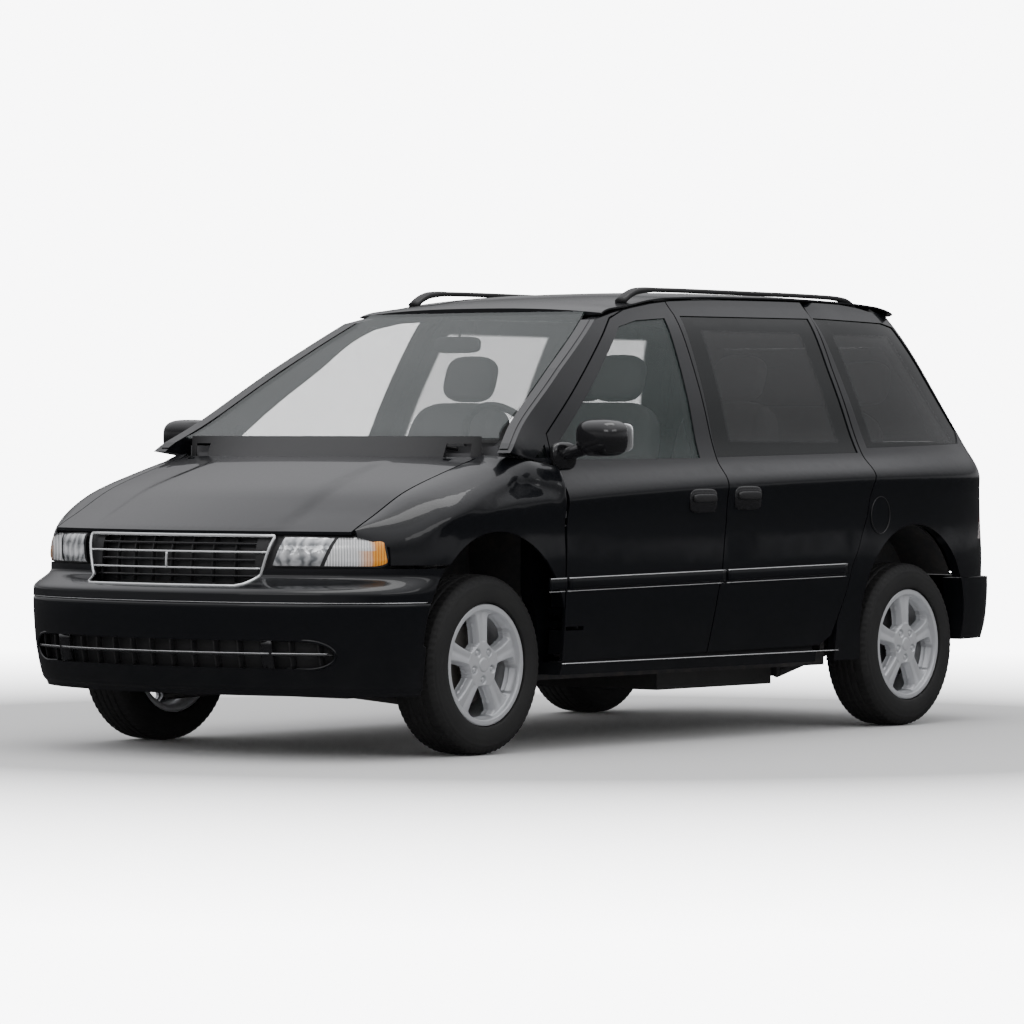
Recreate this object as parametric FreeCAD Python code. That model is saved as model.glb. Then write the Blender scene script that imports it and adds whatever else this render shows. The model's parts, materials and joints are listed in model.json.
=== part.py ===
import FreeCAD, Part
import math
import os

# Minivan with front hinged doors, rear sliding doors, hood and liftgate.
# X points forward, Y to the vehicle's left, Z up. The origin is on the ground, at the
# middle of the overall length and width. All lengths are in millimetres.

Vector = FreeCAD.Vector
ORIGIN = Vector(0, 0, 0)
ACROSS = Vector(0, 1, 0)
ALONG = Vector(1, 0, 0)
UP = Vector(0, 0, 1)

doc = FreeCAD.newDocument("Minivan")
sheet = doc.addObject("Spreadsheet::Sheet", "Sizes")

# Driving dimensions: alias, value, what it is
DRIVING = [
    ("wheelbase", 2878, "front axle to rear axle"),
    ("front_overhang", 945, "front axle to the front of the bumper"),
    ("rear_overhang", 877, "rear axle to the back of the bumper"),
    ("half_width", 972, "middle plane to the widest line of the body side"),
    ("roof_height", 1840, "ground to the top of the roof skin"),
    ("front_half_track", 800, "middle plane to the middle of a front tyre"),
    ("rear_half_track", 813, "middle plane to the middle of a rear tyre"),
    ("tyre_radius", 348, "outer radius of a tyre"),
    ("tyre_width", 222, "section width of a tyre"),
    ("rim_radius", 235, "outer radius of a rim's lip"),
    ("rim_width", 200, "width of a rim over its lips"),
    ("seam_gap", 7, "gap between neighbouring panels"),
    ("fit_gap", 0.3, "gap between seated pieces of different bodies"),
    ("skin_wall", 14, "thickness of the outer layer of a door or lid"),
    ("door_wall", 92, "whole thickness of a door below the window"),
    ("frame_wall", 42, "whole thickness of a door round its window"),
    ("flange", 24, "inset of a door's inner layer from its edge"),
    ("glass_wall", 5, "thickness of the glass"),
    ("glass_inset", 5, "depth of the glass below the skin"),
    ("arch_gap_front", 47, "front arch radius over the tyre radius plus the lift"),
    ("arch_gap_rear", 57, "rear arch radius over the tyre radius"),
    ("arch_lift_front", 82, "front arch centre above the wheel centre"),
    ("arch_lift_rear", 107, "rear arch centre above the wheel centre"),
    ("floor_height", 330, "ground to the top of the floor"),
    ("floor_wall", 60, "thickness of the floor"),
    ("sill_height", 297, "ground to the bottom of the body side"),
]
for row, (alias, value, meaning) in enumerate(DRIVING, start=1):
    sheet.set("A%d" % row, meaning)
    sheet.set("B%d" % row, str(value))
    sheet.setAlias("B%d" % row, alias)
doc.recompute()


def size(alias):
    return float(sheet.get(alias))


wheelbase = size("wheelbase")
half_width = size("half_width")
roof_height = size("roof_height")
tyre_radius = size("tyre_radius")
seam_gap = size("seam_gap")
fit_gap = size("fit_gap")
skin_wall = size("skin_wall")
glass_wall = size("glass_wall")
glass_inset = size("glass_inset")
door_wall = size("door_wall")
frame_wall = size("frame_wall")
flange = size("flange")
sill_height = size("sill_height")
floor_height = size("floor_height")
floor_wall = size("floor_wall")

overall_length = wheelbase + size("front_overhang") + size("rear_overhang")
front_axle_x = overall_length / 2 - size("front_overhang")
rear_axle_x = front_axle_x - wheelbase
overrun = half_width


def along(share):
    """Place along X, as a share of the wheelbase behind the front axle."""
    return front_axle_x - share * wheelbase


def high(share):
    """Height as a share of the roof height."""
    return share * roof_height


def aside(share):
    """Distance from the middle plane as a share of the half width."""
    return share * half_width


def smooth(table, place):
    """Monotone cubic through a table of (place, value), held level past its ends."""
    if place <= table[0][0]:
        return table[0][1]
    if place >= table[-1][0]:
        return table[-1][1]
    steps = [b[0] - a[0] for a, b in zip(table, table[1:])]
    slopes = [(b[1] - a[1]) / (b[0] - a[0]) for a, b in zip(table, table[1:])]
    tangents = [slopes[0]]
    for before, after, left, right in zip(slopes, slopes[1:], steps, steps[1:]):
        if before * after <= 0:
            tangents.append(0.0)
        else:
            weight = 3 * (left + right)
            tangents.append(weight / ((2 * right + left) / before + (right + 2 * left) / after))
    tangents.append(slopes[-1])
    for index, step in enumerate(steps):
        if place <= table[index + 1][0]:
            break
    t = (place - table[index][0]) / step
    low, high_value = table[index][1], table[index + 1][1]
    return ((2 * t ** 3 - 3 * t ** 2 + 1) * low + (t ** 3 - 2 * t ** 2 + t) * step * tangents[index]
            + (3 * t ** 2 - 2 * t ** 3) * high_value + (t ** 3 - t ** 2) * step * tangents[index + 1])


# Lines of the body side: (share of the wheelbase behind the front axle, share of the height)
CREASE_SHARES = [(-0.35, 0.47), (-0.2, 0.49), (-0.005, 0.511), (0.045, 0.52), (0.412, 0.552),
                 (0.519, 0.5576), (0.883, 0.573), (1.305, 0.5815)]
BELT_SHARES = [(-0.2, 0.582), (-0.005, 0.587), (0.166, 0.599), (0.52, 0.6152), (0.884, 0.6266),
               (1.167, 0.648), (1.305, 0.658)]
CANT_SHARES = [(0.342, 0.924), (0.397, 0.943), (0.488, 0.965), (0.538, 0.974), (0.697, 0.9826),
               (0.878, 0.985), (1.01, 0.981), (1.096, 0.972), (1.183, 0.954)]
# Half width of the side by height: below the crease, then from the belt to the gutter
LOWER_SIDE_SHARES = [(0.12, 0.955), (0.161, 0.966), (0.245, 0.982), (0.337, 0.9915), (0.40, 0.9938), (0.47, 0.9885)]
BELT_WIDTH_SHARE = 0.931
UPPER_SIDE_SHARES = [(0.614, 0.931), (0.761, 0.823), (0.880, 0.7202), (0.935, 0.6584), (0.978, 0.60), (1.0, 0.56)]
# Middle-plane profiles
ROOF_SHARES = [(0.349, 0.9484), (0.401, 0.965), (0.453, 0.9766), (0.592, 0.9935), (0.731, 1.0), (0.87, 1.0),
               (1.009, 0.9946), (1.114, 0.983), (1.183, 0.97), (1.25, 0.955)]
HOOD_SHARES = [(-0.285, 0.462), (-0.2773, 0.4693), (-0.2328, 0.5027), (-0.1713, 0.5489), (-0.0886, 0.5897),
               (-0.0042, 0.625), (0.06, 0.646)]
TAIL_SHARES = [(0.12, 1.284), (0.337, 1.284), (0.435, 1.283), (0.516, 1.279), (0.598, 1.272), (0.652, 1.2616),
               (0.761, 1.235), (0.88, 1.197), (0.935, 1.178), (0.978, 1.1605), (1.0, 1.15)]
NOSE_SHARES = [(0.30, -0.287), (0.36, -0.2893), (0.41, -0.2885), (0.44, -0.286), (0.4693, -0.2773), (0.5, -0.26)]


def crease_height(x):
    return high(smooth(CREASE_SHARES, (front_axle_x - x) / wheelbase))


def belt_height(x):
    return high(smooth(BELT_SHARES, (front_axle_x - x) / wheelbase))


def cant_height(x):
    return high(smooth(CANT_SHARES, (front_axle_x - x) / wheelbase))


def side_width(x, z):
    """Half width of the body side, without the rounding at its ends."""
    crease = crease_height(x) / roof_height
    belt = belt_height(x) / roof_height
    blend = 0.021
    table = LOWER_SIDE_SHARES + [(crease - blend / 2, 0.998), (crease, 1.0), (crease + blend / 2, 0.9955)]
    table = table + [(belt, BELT_WIDTH_SHARE)]
    table = table + [pair for pair in UPPER_SIDE_SHARES if pair[0] > belt + blend]
    return aside(smooth(table, z / roof_height))


# Rounding of the front and the rear in plan
front_bow_radius = 1.75 * half_width
front_square = 7
rear_bow = 0.02 * half_width
rear_square = 6
front_start_share = -0.03
rear_start_share = 0.80


def corner(start_x, end_x, width, square, turn):
    """Point of a squared quarter ellipse from the side (turn 0) to the middle plane (turn 1)."""
    half = 0.5 ** (1 / square)
    if turn <= 0.5:
        forward = half * turn * 2
        across = (1 - forward ** square) ** (1 / square)
    else:
        across = half * (1 - turn) * 2
        forward = (1 - across ** square) ** (1 / square)
    return start_x + (end_x - start_x) * forward, width * across


def front_point(z, nose_x, width, turn):
    """Plan point on the front: squared corner plus the bow of the middle."""
    x, y = corner(along(front_start_share), nose_x, width, front_square, turn)
    bow = front_bow_radius - math.sqrt(front_bow_radius ** 2 - y ** 2)
    side_bow = front_bow_radius - math.sqrt(front_bow_radius ** 2 - width ** 2)
    share = (x - along(front_start_share)) / (nose_x - along(front_start_share))
    return x - bow * share, y


def front_width(x, z):
    """Half width of the nose at a place along it."""
    if x <= along(front_start_share):
        return side_width(x, z)
    nose_x = along(smooth(NOSE_SHARES, z / roof_height))
    low, top = 0.0, 1.0
    for _ in range(40):
        middle = (low + top) / 2
        if front_point(z, nose_x, side_width(x, z), middle)[0] < x:
            low = middle
        else:
            top = middle
    return front_point(z, nose_x, side_width(x, z), low)[1]


def rear_point(z, turn, x_guess, depth=0.0):
    width = side_width(x_guess, z) - depth
    tail_x = along(smooth(TAIL_SHARES, z / roof_height)) + depth
    x, y = corner(along(rear_start_share), tail_x, width, rear_square, turn)
    return x + rear_bow * (y / width) ** 2, y


def spread(count):
    return [index / (count - 1) for index in range(count)]


def surface_through(rows):
    surface = Part.BSplineSurface()
    surface.interpolate(rows)
    return surface


def slab(outer_point, inner_point, columns, rows):
    """Closed solid between two surfaces, each a function of (u, v) from 0 to 1."""
    outer, inner = [surface_through([[point(u, v) for v in rows] for u in columns])
                    for point in (outer_point, inner_point)]
    u0, u1, v0, v1 = outer.bounds()
    faces = [outer.toShape(), inner.toShape()]
    edges = [(outer.uIso(u0), inner.uIso(u0)), (outer.uIso(u1), inner.uIso(u1)),
             (outer.vIso(v0), inner.vIso(v0)), (outer.vIso(v1), inner.vIso(v1))]
    for first, second in edges:
        if first.length() > 1:
            faces.append(Part.makeRuledSurface(first.toShape(), second.toShape()))
    solid = Part.makeSolid(Part.makeShell(faces))
    if solid.Volume < 0:
        solid.reverse()
    return solid


def layer(point, outer_depth, inner_depth, columns, rows):
    """Slab between two depths of a surface whose function takes (u, v, depth)."""
    depths = [depth if callable(depth) else (lambda v, fixed=depth: fixed)
              for depth in (outer_depth, inner_depth)]
    return slab(lambda u, v: point(u, v, depths[0](v)), lambda u, v: point(u, v, depths[1](v)), columns, rows)


def outline(shares):
    """Points in the side view from (wheelbase share, height share) pairs."""
    return [Vector(along(x), 0, high(z)) for x, z in shares]


def side_prism(points, inset=0.0, near=0.0, far=None):
    """Solid across Y from a side-view polygon, made smaller by the inset."""
    wire = Part.makePolygon(points + [points[0]])
    face = Part.Face(wire)
    if inset:
        face = Part.Face(face.makeOffset2D(-inset, 2).Wires[0])
    face.translate(Vector(0, near, 0))
    reach = (far if far is not None else overrun * 1.2) - near
    return face.extrude(Vector(0, reach, 0))


def rear_prism(points, inset, near, far):
    """Solid along X from a rear-view polygon of (Y, Z)."""
    wire = Part.makePolygon([Vector(near, y, z) for y, z in points + [points[0]]])
    face = Part.Face(wire)
    if inset:
        face = Part.Face(face.makeOffset2D(-inset, 2).Wires[0])
    return face.extrude(Vector(far - near, 0, 0))


def box(x0, x1, y0, y1, z0, z1):
    corner_point = Vector(min(x0, x1), min(y0, y1), min(z0, z1))
    return Part.makeBox(abs(x1 - x0), abs(y1 - y0), abs(z1 - z0), corner_point)


def rod(start, end, radius):
    return Part.makeCylinder(radius, (end - start).Length, start, end - start)


def mirrored(shape):
    return shape.mirror(ORIGIN, ACROSS)


def both(shape):
    return Part.makeCompound([shape, mirrored(shape)])


def add_part(label, shape):
    piece = doc.addObject("Part::Feature", label)
    placement = shape.Placement
    piece.Shape = shape
    piece.Label = label
    piece.Placement = placement
    parts.append(piece)
    return piece


parts = []

# Body side: the surface over the doors, from the front of the fender seam to the third side window
side_front_share = 0.0
side_rear_share = 0.97
SIDE_LEVEL_SHARES = [0.0, 0.06, 0.2, 0.4, 0.58, 0.74, 0.87, 0.95, 1.0]
UPPER_LEVEL_SHARES = [0.03, 0.12, 0.3, 0.5, 0.7, 0.87, 1.0]
cant_margin = 0.012 * roof_height


def side_level(x, level):
    """Height of a row of the side grid: 0 to 1 up to the crease, 1 to 2 to the belt, 2 to 3 to the gutter."""
    crease, belt = crease_height(x), belt_height(x)
    top = cant_height(x)
    if level <= 1:
        return sill_height + (crease - sill_height) * level
    if level <= 2:
        return crease + (belt - crease) * (level - 1)
    return belt + (top - belt) * (level - 2)


SIDE_ROWS = ([level / 3 for level in SIDE_LEVEL_SHARES]
             + [(1 + level) / 3 for level in (0.1, 0.3, 0.6, 0.85, 1.0)]
             + [(2 + level) / 3 for level in UPPER_LEVEL_SHARES])


def side_point(u, v, depth=0.0):
    x = along(side_front_share + (side_rear_share - side_front_share) * u)
    z = side_level(x, 3 * v)
    return Vector(x, side_width(x, z) - depth, z)


def door_depth(v):
    """Whole thickness of a door: full to the belt, thinner round the window."""
    belt_row = 2 / 3
    blend = min(max((v - belt_row + 0.02) / 0.03, 0.0), 1.0)
    return door_wall + (frame_wall - door_wall) * blend


def frame_front(v):
    return skin_wall + 6


def frame_back(v):
    return door_depth(v) + 6


SIDE_COLUMNS = spread(14)

relief_layer = layer(side_point, skin_wall, door_wall + 30, SIDE_COLUMNS, SIDE_ROWS)
door_layer = layer(side_point, 0.0, door_depth, SIDE_COLUMNS, SIDE_ROWS)
sill_layer = layer(side_point, 0.0, door_wall + 30, SIDE_COLUMNS, SIDE_ROWS)
ring_layer = layer(side_point, skin_wall + 8, frame_wall + 22, SIDE_COLUMNS, SIDE_ROWS)
full_layer = layer(side_point, 0.0, frame_wall + 22, SIDE_COLUMNS, SIDE_ROWS)
glass_layer = layer(side_point, glass_inset, glass_inset + glass_wall, SIDE_COLUMNS, SIDE_ROWS)

# Door outlines in the side view, clockwise from the lower front corner
FRONT_SEAM_SHARES = [(0.1442, 0.189), (0.1442, 0.364), (0.1466, 0.435), (0.1477, 0.505), (0.1477, 0.598),
                     (0.1494, 0.672)]
PILLAR_TOP_SHARES = [(0.384, 0.9266), (0.4465, 0.957)]
B_SEAM_SHARES = [(0.5385, 0.985), (0.5438, 0.94), (0.532, 0.78), (0.5202, 0.615), (0.5156, 0.5435),
                 (0.5149, 0.478), (0.5038, 0.376), (0.4764, 0.193)]
C_SEAM_SHARES = [(0.881, 0.998), (0.8878, 0.948), (0.8819, 0.825), (0.8826, 0.634), (0.8853, 0.581),
                 (0.8721, 0.533), (0.8666, 0.4875), (0.8429, 0.4125), (0.827, 0.375), (0.8155, 0.322),
                 (0.7804, 0.218), (0.7526, 0.197)]
front_door_points = outline(FRONT_SEAM_SHARES + PILLAR_TOP_SHARES + B_SEAM_SHARES)
slide_door_points = outline(list(reversed(B_SEAM_SHARES)) + C_SEAM_SHARES)
FRONT_WINDOW_SHARES = [(0.1737, 0.617), (0.1737, 0.655), (0.3968, 0.9085), (0.445, 0.924), (0.516, 0.931),
                       (0.4823, 0.6207)]
SLIDE_WINDOW_SHARES = [(0.5560, 0.9375), (0.5226, 0.622), (0.874, 0.6325), (0.872, 0.825), (0.877, 0.942)]
TRIANGLE_SHARES = [(0.139, 0.621), (0.108, 0.621), (0.139, 0.650)]


QUARTER_WINDOW_SHARES = [(0.8925, 0.9435), (1.0775, 0.938), (1.1154, 0.929), (1.1501, 0.8261),
                         (1.1866, 0.6891), (1.1605, 0.6545), (0.9013, 0.6435)]


rail_drop = 50
door_top_drop = 10
rail_gap = 8
roof_seat = 8


def above_rail(drop):
    """Region above a line that runs below the gutter, where the roof rail passes behind the doors."""
    places = [along(0.15 + 0.05 * step) for step in range(23)]
    line = [Vector(x, 0, cant_height(x) - drop) for x in places]
    cap = [Vector(places[-1], 0, roof_height * 1.1), Vector(places[0], 0, roof_height * 1.1)]
    return side_prism(line + cap)


def door_shapes(points, window_points):
    """A door: thin outer layer with the whole outline, inner layer set in by the flange."""
    whole = door_layer.common(side_prism(points, seam_gap / 2).cut(above_rail(door_top_drop)))
    inner = side_prism(points, seam_gap / 2 + flange).cut(above_rail(rail_drop))
    relief = relief_layer.cut(inner)
    pane = glass_layer.common(side_prism(window_points, fit_gap))
    return whole.cut(relief).cut(side_prism(window_points)), pane


front_door, front_pane = door_shapes(front_door_points, outline(FRONT_WINDOW_SHARES))
slide_door, slide_pane = door_shapes(slide_door_points, outline(SLIDE_WINDOW_SHARES))

# Roof: crowned sheet between the gutters
roof_front_share = 0.3575
roof_rear_share = 1.163
roof_wall = 0.018 * roof_height
gutter_step = 0.003 * roof_height
roof_power = 2.4


def roof_edge(x):
    return side_width(x, cant_height(x)) - seam_gap


screen_bow_foot = 0.115 * half_width
screen_bow_head = 0.045 * half_width


def roof_point(u, v, depth=0.0):
    x = along(roof_front_share + (roof_rear_share - roof_front_share) * u)
    x = x - screen_bow_head * (1 - 2 * v) ** 2 * (1 - u)
    edge = roof_edge(x)
    y = edge * (1 - 2 * v)
    top = high(smooth(ROOF_SHARES, (front_axle_x - x) / wheelbase))
    drop = top - cant_height(x) - gutter_step
    thinning = 1 - 0.8 * abs(y / edge) ** 4
    return Vector(x, y, top - drop * abs(y / edge) ** roof_power - depth * thinning)


roof = layer(roof_point, 0.0, roof_wall, spread(16), spread(21))

# Windscreen: leaning sheet, bowed more at its foot than at its head
SCREEN_SHARES = [(0.632, 0.0042), (0.6516, 0.0167), (0.7179, 0.091), (0.8136, 0.1995), (0.925, 0.3325),
                 (0.955, 0.368)]
PILLAR_FRONT_SHARES = [(0.0365, 0.630), (0.0549, 0.6516), (0.124, 0.7179), (0.2238, 0.8136), (0.3482, 0.925),
                       (0.3711, 0.97)]
screen_foot = high(0.654)
screen_head = high(0.9413)
screen_wall = 6
screen_gap = 2


def screen_edge(z):
    """Half the width of the windscreen, up to the inner face of the front pillar."""
    place = smooth([(height, share) for share, height in PILLAR_FRONT_SHARES], z / roof_height)
    return side_width(along(place), z) - frame_wall - 30 - screen_gap


def screen_point(u, v, depth=0.0):
    z = screen_foot + (screen_head - screen_foot) * v
    x_middle = along(smooth(SCREEN_SHARES, z / roof_height))
    bow = screen_bow_foot + (screen_bow_head - screen_bow_foot) * v
    edge = screen_edge(z)
    y = edge * (1 - 2 * u)
    return Vector(x_middle - bow * (y / edge) ** 2 - depth, y, z - depth)


screen_start_share = 0.03
screen_rows = [screen_start_share + (1 - screen_start_share) * row for row in spread(9)]
windscreen = layer(screen_point, 0.0, screen_wall, spread(15), screen_rows)

# Hinges: barrels stacked on one axis, the middle one on the moving piece
hinge_radius = 9
barrel_length = 26
door_hinge_back = 80
door_hinge_depth = 27
door_hinge_shares = (0.28, 0.50)
door_hinge_x = along(0.1477) - door_hinge_back
door_hinge_y = aside(1.0) - door_hinge_depth
hinge_pocket = 34


def barrels(middle, direction, radius, length):
    """Three stacked barrels: the two outer ones on the body, the middle one on the moving piece."""
    step = direction * (length + fit_gap)
    still = []
    for sign in (-1, 1):
        centre = middle + step * sign
        still.append(rod(centre - direction * (length / 2), centre + direction * (length / 2), radius))
    return still, rod(middle - direction * (length / 2), middle + direction * (length / 2), radius)


pillar_depth = door_wall + 34
hinge_pillar = box(door_hinge_x - 30, along(0.135), aside(0.965) - pillar_depth - 50, aside(0.965) - pillar_depth,
                   sill_height + 20, high(0.54))
pillar_foot = 42
hinge_pillar = hinge_pillar.fuse(box(door_hinge_x - 30, along(0.135), aside(0.965) - pillar_depth - 50,
                                     aside(0.965) - pillar_depth + pillar_foot, sill_height + 8,
                                     high(0.189) - seam_gap / 2))
for share in door_hinge_shares:
    middle = Vector(door_hinge_x, door_hinge_y, high(share))
    reach = barrel_length * 1.5 + fit_gap
    front_door = front_door.cut(box(door_hinge_x - hinge_pocket, door_hinge_x + door_hinge_back, 0,
                                    door_hinge_y + hinge_radius + 3, middle.z - reach - 6, middle.z + reach + 6))
    still, moving = barrels(middle, UP, hinge_radius, barrel_length)
    for barrel in still:
        centre = barrel.CenterOfMass
        hinge_pillar = hinge_pillar.fuse(barrel).fuse(
            box(centre.x - 7, centre.x + 7, aside(0.965) - pillar_depth - 5, centre.y, centre.z - barrel_length / 2,
                centre.z + barrel_length / 2))
    leaf = box(door_hinge_x - hinge_pocket - 8, door_hinge_x, door_hinge_y - 5, door_hinge_y + 5,
               middle.z - barrel_length / 2, middle.z + barrel_length / 2)
    front_door = front_door.fuse(moving).fuse(leaf)

# Frame ring behind the doors, pillars and sills
inset = flange - 8 + seam_gap / 2
rail_region = above_rail(rail_drop - rail_gap)
ring = ring_layer.cut(side_prism(front_door_points, inset).cut(rail_region))
ring = ring.cut(side_prism(slide_door_points, inset).cut(rail_region))
hinge_room = 24
ring = ring.cut(box(along(0.20), along(0.1442) + hinge_room, 0, overrun, high(0.1905), high(0.688)))
ring = ring.cut(box(along(0.1442), along(-0.1), 0, overrun, high(0.1905), high(0.64)))
ring = ring.common(side_prism(outline(PILLAR_FRONT_SHARES + [(0.9, 1.05), (0.97, 1.05), (0.97, 0.155),
                                                             (0.0365, 0.155)])))
ring = ring.cut(side_prism(outline(QUARTER_WINDOW_SHARES)))
PILLAR_REAR_SHARES = [(0.45, 0.97), (0.4465, 0.957), (0.384, 0.9266), (0.1494, 0.672), (0.1477, 0.604)]
pillar_points = outline(PILLAR_FRONT_SHARES + PILLAR_REAR_SHARES)
pillar = full_layer.common(side_prism(pillar_points, seam_gap / 2))
triangle_points = outline(TRIANGLE_SHARES)
sill_top = high(0.189)
sill = sill_layer.common(box(along(0.85), along(0.13), 0, overrun, 0, sill_top - seam_gap / 2))
side_frame = ring.fuse(pillar).fuse(sill).fuse(hinge_pillar).cut(side_prism(triangle_points)).cut(above_rail(roof_seat))
BEHIND_C_SHARES = C_SEAM_SHARES + [(0.7526, 0.1), (1.5, 0.1), (1.5, 1.1), (0.881, 1.1)]
side_frame = side_frame.cut(side_prism(outline(BEHIND_C_SHARES), -inset))
triangle_pane = glass_layer.common(side_prism(triangle_points, fit_gap))

# Hood: sheet between the fenders, bowed at both ends, with a raised middle between two creases
hood_half_share = 0.779
hood_bow = 0.17 * half_width
hood_front_share = -0.2773
hood_rear_share = -0.012
hood_wall = 12
crease_front_share = 0.50
crease_rear_share = 0.43
crease_rise = 0.005 * roof_height


def hood_height(x, y):
    """Height of the hood and of the fender's upper edge beside it."""
    place = (front_axle_x - x - hood_bow * (y / aside(hood_half_share)) ** 2) / wheelbase
    span = (place - hood_front_share) / (hood_rear_share - hood_front_share)
    crease_y = aside(crease_front_share + (crease_rear_share - crease_front_share) * span)
    rise = crease_rise / (1 + math.exp((abs(y) - crease_y) / (0.012 * half_width)))
    fade = min(max(span * 6, 0.0), 1.0) * min(max((1 - span) * 6, 0.0), 1.0)
    return high(smooth(HOOD_SHARES, place)) + rise * fade


def hood_point(u, v, depth=0.0):
    y = (aside(hood_half_share) - seam_gap / 2) * (1 - 2 * v)
    bow = hood_bow * (y / aside(hood_half_share)) ** 2
    x = along(hood_front_share + (hood_rear_share - hood_front_share) * u) - bow
    return Vector(x, y, hood_height(x, y) - depth)


hood = layer(hood_point, 0.0, hood_wall, spread(21), spread(41))

hood_hinge_y = aside(0.68)
hood_hinge_x = along(hood_rear_share) - hood_bow - 2
hood_hinge_z = hood_height(hood_hinge_x, aside(hood_half_share)) - 9
hood_hinge_radius = 7
hood_mounts = []
for sign in (1, -1):
    still, moving = barrels(Vector(hood_hinge_x, sign * hood_hinge_y, hood_hinge_z), ACROSS, hood_hinge_radius,
                            barrel_length)
    hood_mounts.append(still)
    arm_y = sign * hood_hinge_y
    arm = box(hood_hinge_x, hood_hinge_x + 90, arm_y - barrel_length / 2, arm_y + barrel_length / 2,
              hood_hinge_z - 6, hood_hinge_z + 2)
    hood = hood.fuse(moving).fuse(arm)

# Fender: side surface that rounds over to the hood seam
fender_rear_share = 0.1442
fender_front_share = -0.2155
fender_wall = 10
arch_front_x = front_axle_x
arch_front_z = tyre_radius + size("arch_lift_front")
arch_front_radius = tyre_radius + size("arch_gap_front") + 35
arch_rear_x = along(0.994)
arch_rear_z = tyre_radius + size("arch_lift_rear")
arch_rear_radius = tyre_radius + size("arch_gap_rear")
FENDER_TOP_SHARES = [(-0.285, 0.779), (0.045, 0.779), (0.075, 0.84), (0.11, 0.88), (0.15, 0.90)]
FENDER_TOP_RISE = [(0.045, 0.6275), (0.075, 0.628), (0.11, 0.618), (0.15, 0.610)]


def fender_top(x):
    """Upper edge of the fender: along the hood, then along the foot of the front pillar."""
    place = (front_axle_x - x) / wheelbase
    y = aside(smooth(FENDER_TOP_SHARES, place)) + seam_gap / 2
    if place < FENDER_TOP_RISE[0][0]:
        return y, hood_height(x, y)
    return y, high(smooth(FENDER_TOP_RISE, place))


fender_shoulder = 0.068 * roof_height


def fender_point(u, v, depth=0.0):
    x = along(fender_front_share + (fender_rear_share - fender_front_share) * u) + seam_gap / 2 * u
    y_top, z_top = fender_top(x)
    shoulder = fender_shoulder
    z_low = z_top - shoulder
    split = 0.6
    if v <= split:
        z = sill_height + (z_low - sill_height) * v / split
        return Vector(x, front_width(x, z) - depth, z)
    angle = (v - split) / (1 - split) * math.pi / 2
    y_low = front_width(x, z_low)
    y = y_top + (y_low - depth - y_top) * max(math.cos(angle), 0.0)
    return Vector(x, y, z_low + (shoulder - depth) * math.sin(angle))


fender_rows = spread(22)
fender = layer(fender_point, 0.0, fender_wall, spread(24), fender_rows)
arch_reach = overrun * 1.2
front_arch = Part.makeCylinder(arch_front_radius, arch_reach, Vector(arch_front_x, 0, arch_front_z), ACROSS)
front_arch = front_arch.fuse(box(arch_front_x - arch_front_radius * 0.93, arch_front_x + arch_front_radius * 0.97, 0,
                                 arch_reach, 0, arch_front_z))
rear_arch = Part.makeCylinder(arch_rear_radius, arch_reach, Vector(arch_rear_x, 0, arch_rear_z), ACROSS)
rear_arch = rear_arch.fuse(box(arch_rear_x - arch_rear_radius * 0.96, arch_rear_x + arch_rear_radius * 0.96, 0,
                               arch_reach, 0, arch_rear_z))
bumper_seam = high(0.399)
lamp_low = high(0.397)
lamp_top = high(0.459)
lamp_rear = along(-0.19)
lamp_seam = along(-0.222)
strip_rear = along(-0.19)
lamp_points = [Vector(x, 0, z) for x, z in [(lamp_rear, high(0.437)), (lamp_seam, high(0.461)),
                                            (along(-0.30), high(0.461)),
                                            (along(-0.30), lamp_low), (along(-0.245), lamp_low)]]
FENDER_SHARES = [(0.1442, 0.12), (0.1442, 0.7), (-0.235, 0.7), (-0.235, 0.461), (-0.222, 0.461), (-0.19, 0.437),
                 (-0.19, 0.399), (-0.03, 0.399), (-0.03, 0.12)]
fender = fender.common(side_prism(outline(FENDER_SHARES), seam_gap / 2))
fender = fender.cut(side_prism(pillar_points, -seam_gap / 2)).cut(front_arch)
fender = max(fender.Solids, key=lambda solid: solid.Volume)

# Face between bumper and hood: grille, headlamps and the painted strip below them
face_low = high(0.345)
face_high = high(0.468)


def face_point(u, v, depth=0.0):
    z = face_low + (face_high - face_low) * v
    nose_x = along(smooth(NOSE_SHARES, z / roof_height)) - depth
    x, y = front_point(z, nose_x, side_width(along(front_start_share), z) - depth, u)
    return Vector(x, y, z)


EDGE_COLUMNS = [0.0, 0.1, 0.2, 0.28, 0.34, 0.38, 0.41, 0.44, 0.47, 0.5, 0.53, 0.56, 0.59, 0.63, 0.68, 0.74, 0.82, 0.91,
                1.0]
face_wall = 24
lamp_wall = 70
face_layer = layer(face_point, 0.0, face_wall, EDGE_COLUMNS, spread(7))
lamp_layer = layer(face_point, 0.0, lamp_wall, EDGE_COLUMNS, spread(7))
lamp_inner = aside(0.49)
lamp_region = side_prism(lamp_points, seam_gap / 2).common(box(0, overall_length, lamp_inner, overrun * 1.2, 0,
                                                               roof_height))
headlamp = lamp_layer.common(lamp_region)
strip_high = high(0.359)
grille_frame = face_layer.common(box(0, overall_length, -1, lamp_inner - seam_gap, strip_high + fit_gap, high(0.459)))
grille_hole = box(0, overall_length, -1, lamp_inner - seam_gap - 20, high(0.376), high(0.447))
grille_bars = face_layer.common(box(0, overall_length, -1, lamp_inner - seam_gap, high(0.40), high(0.41)))
grille_bars = grille_bars.fuse(face_layer.common(box(0, overall_length, -1, lamp_inner - seam_gap, high(0.425),
                                                     high(0.435))))
grille_back = layer(face_point, face_wall - 4, face_wall + 6, EDGE_COLUMNS, spread(7))
grille_back = grille_back.common(box(0, overall_length, -1, lamp_inner - seam_gap - 10, high(0.366), high(0.455)))
grille = grille_frame.cut(grille_hole).fuse(grille_bars).fuse(grille_back)
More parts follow.
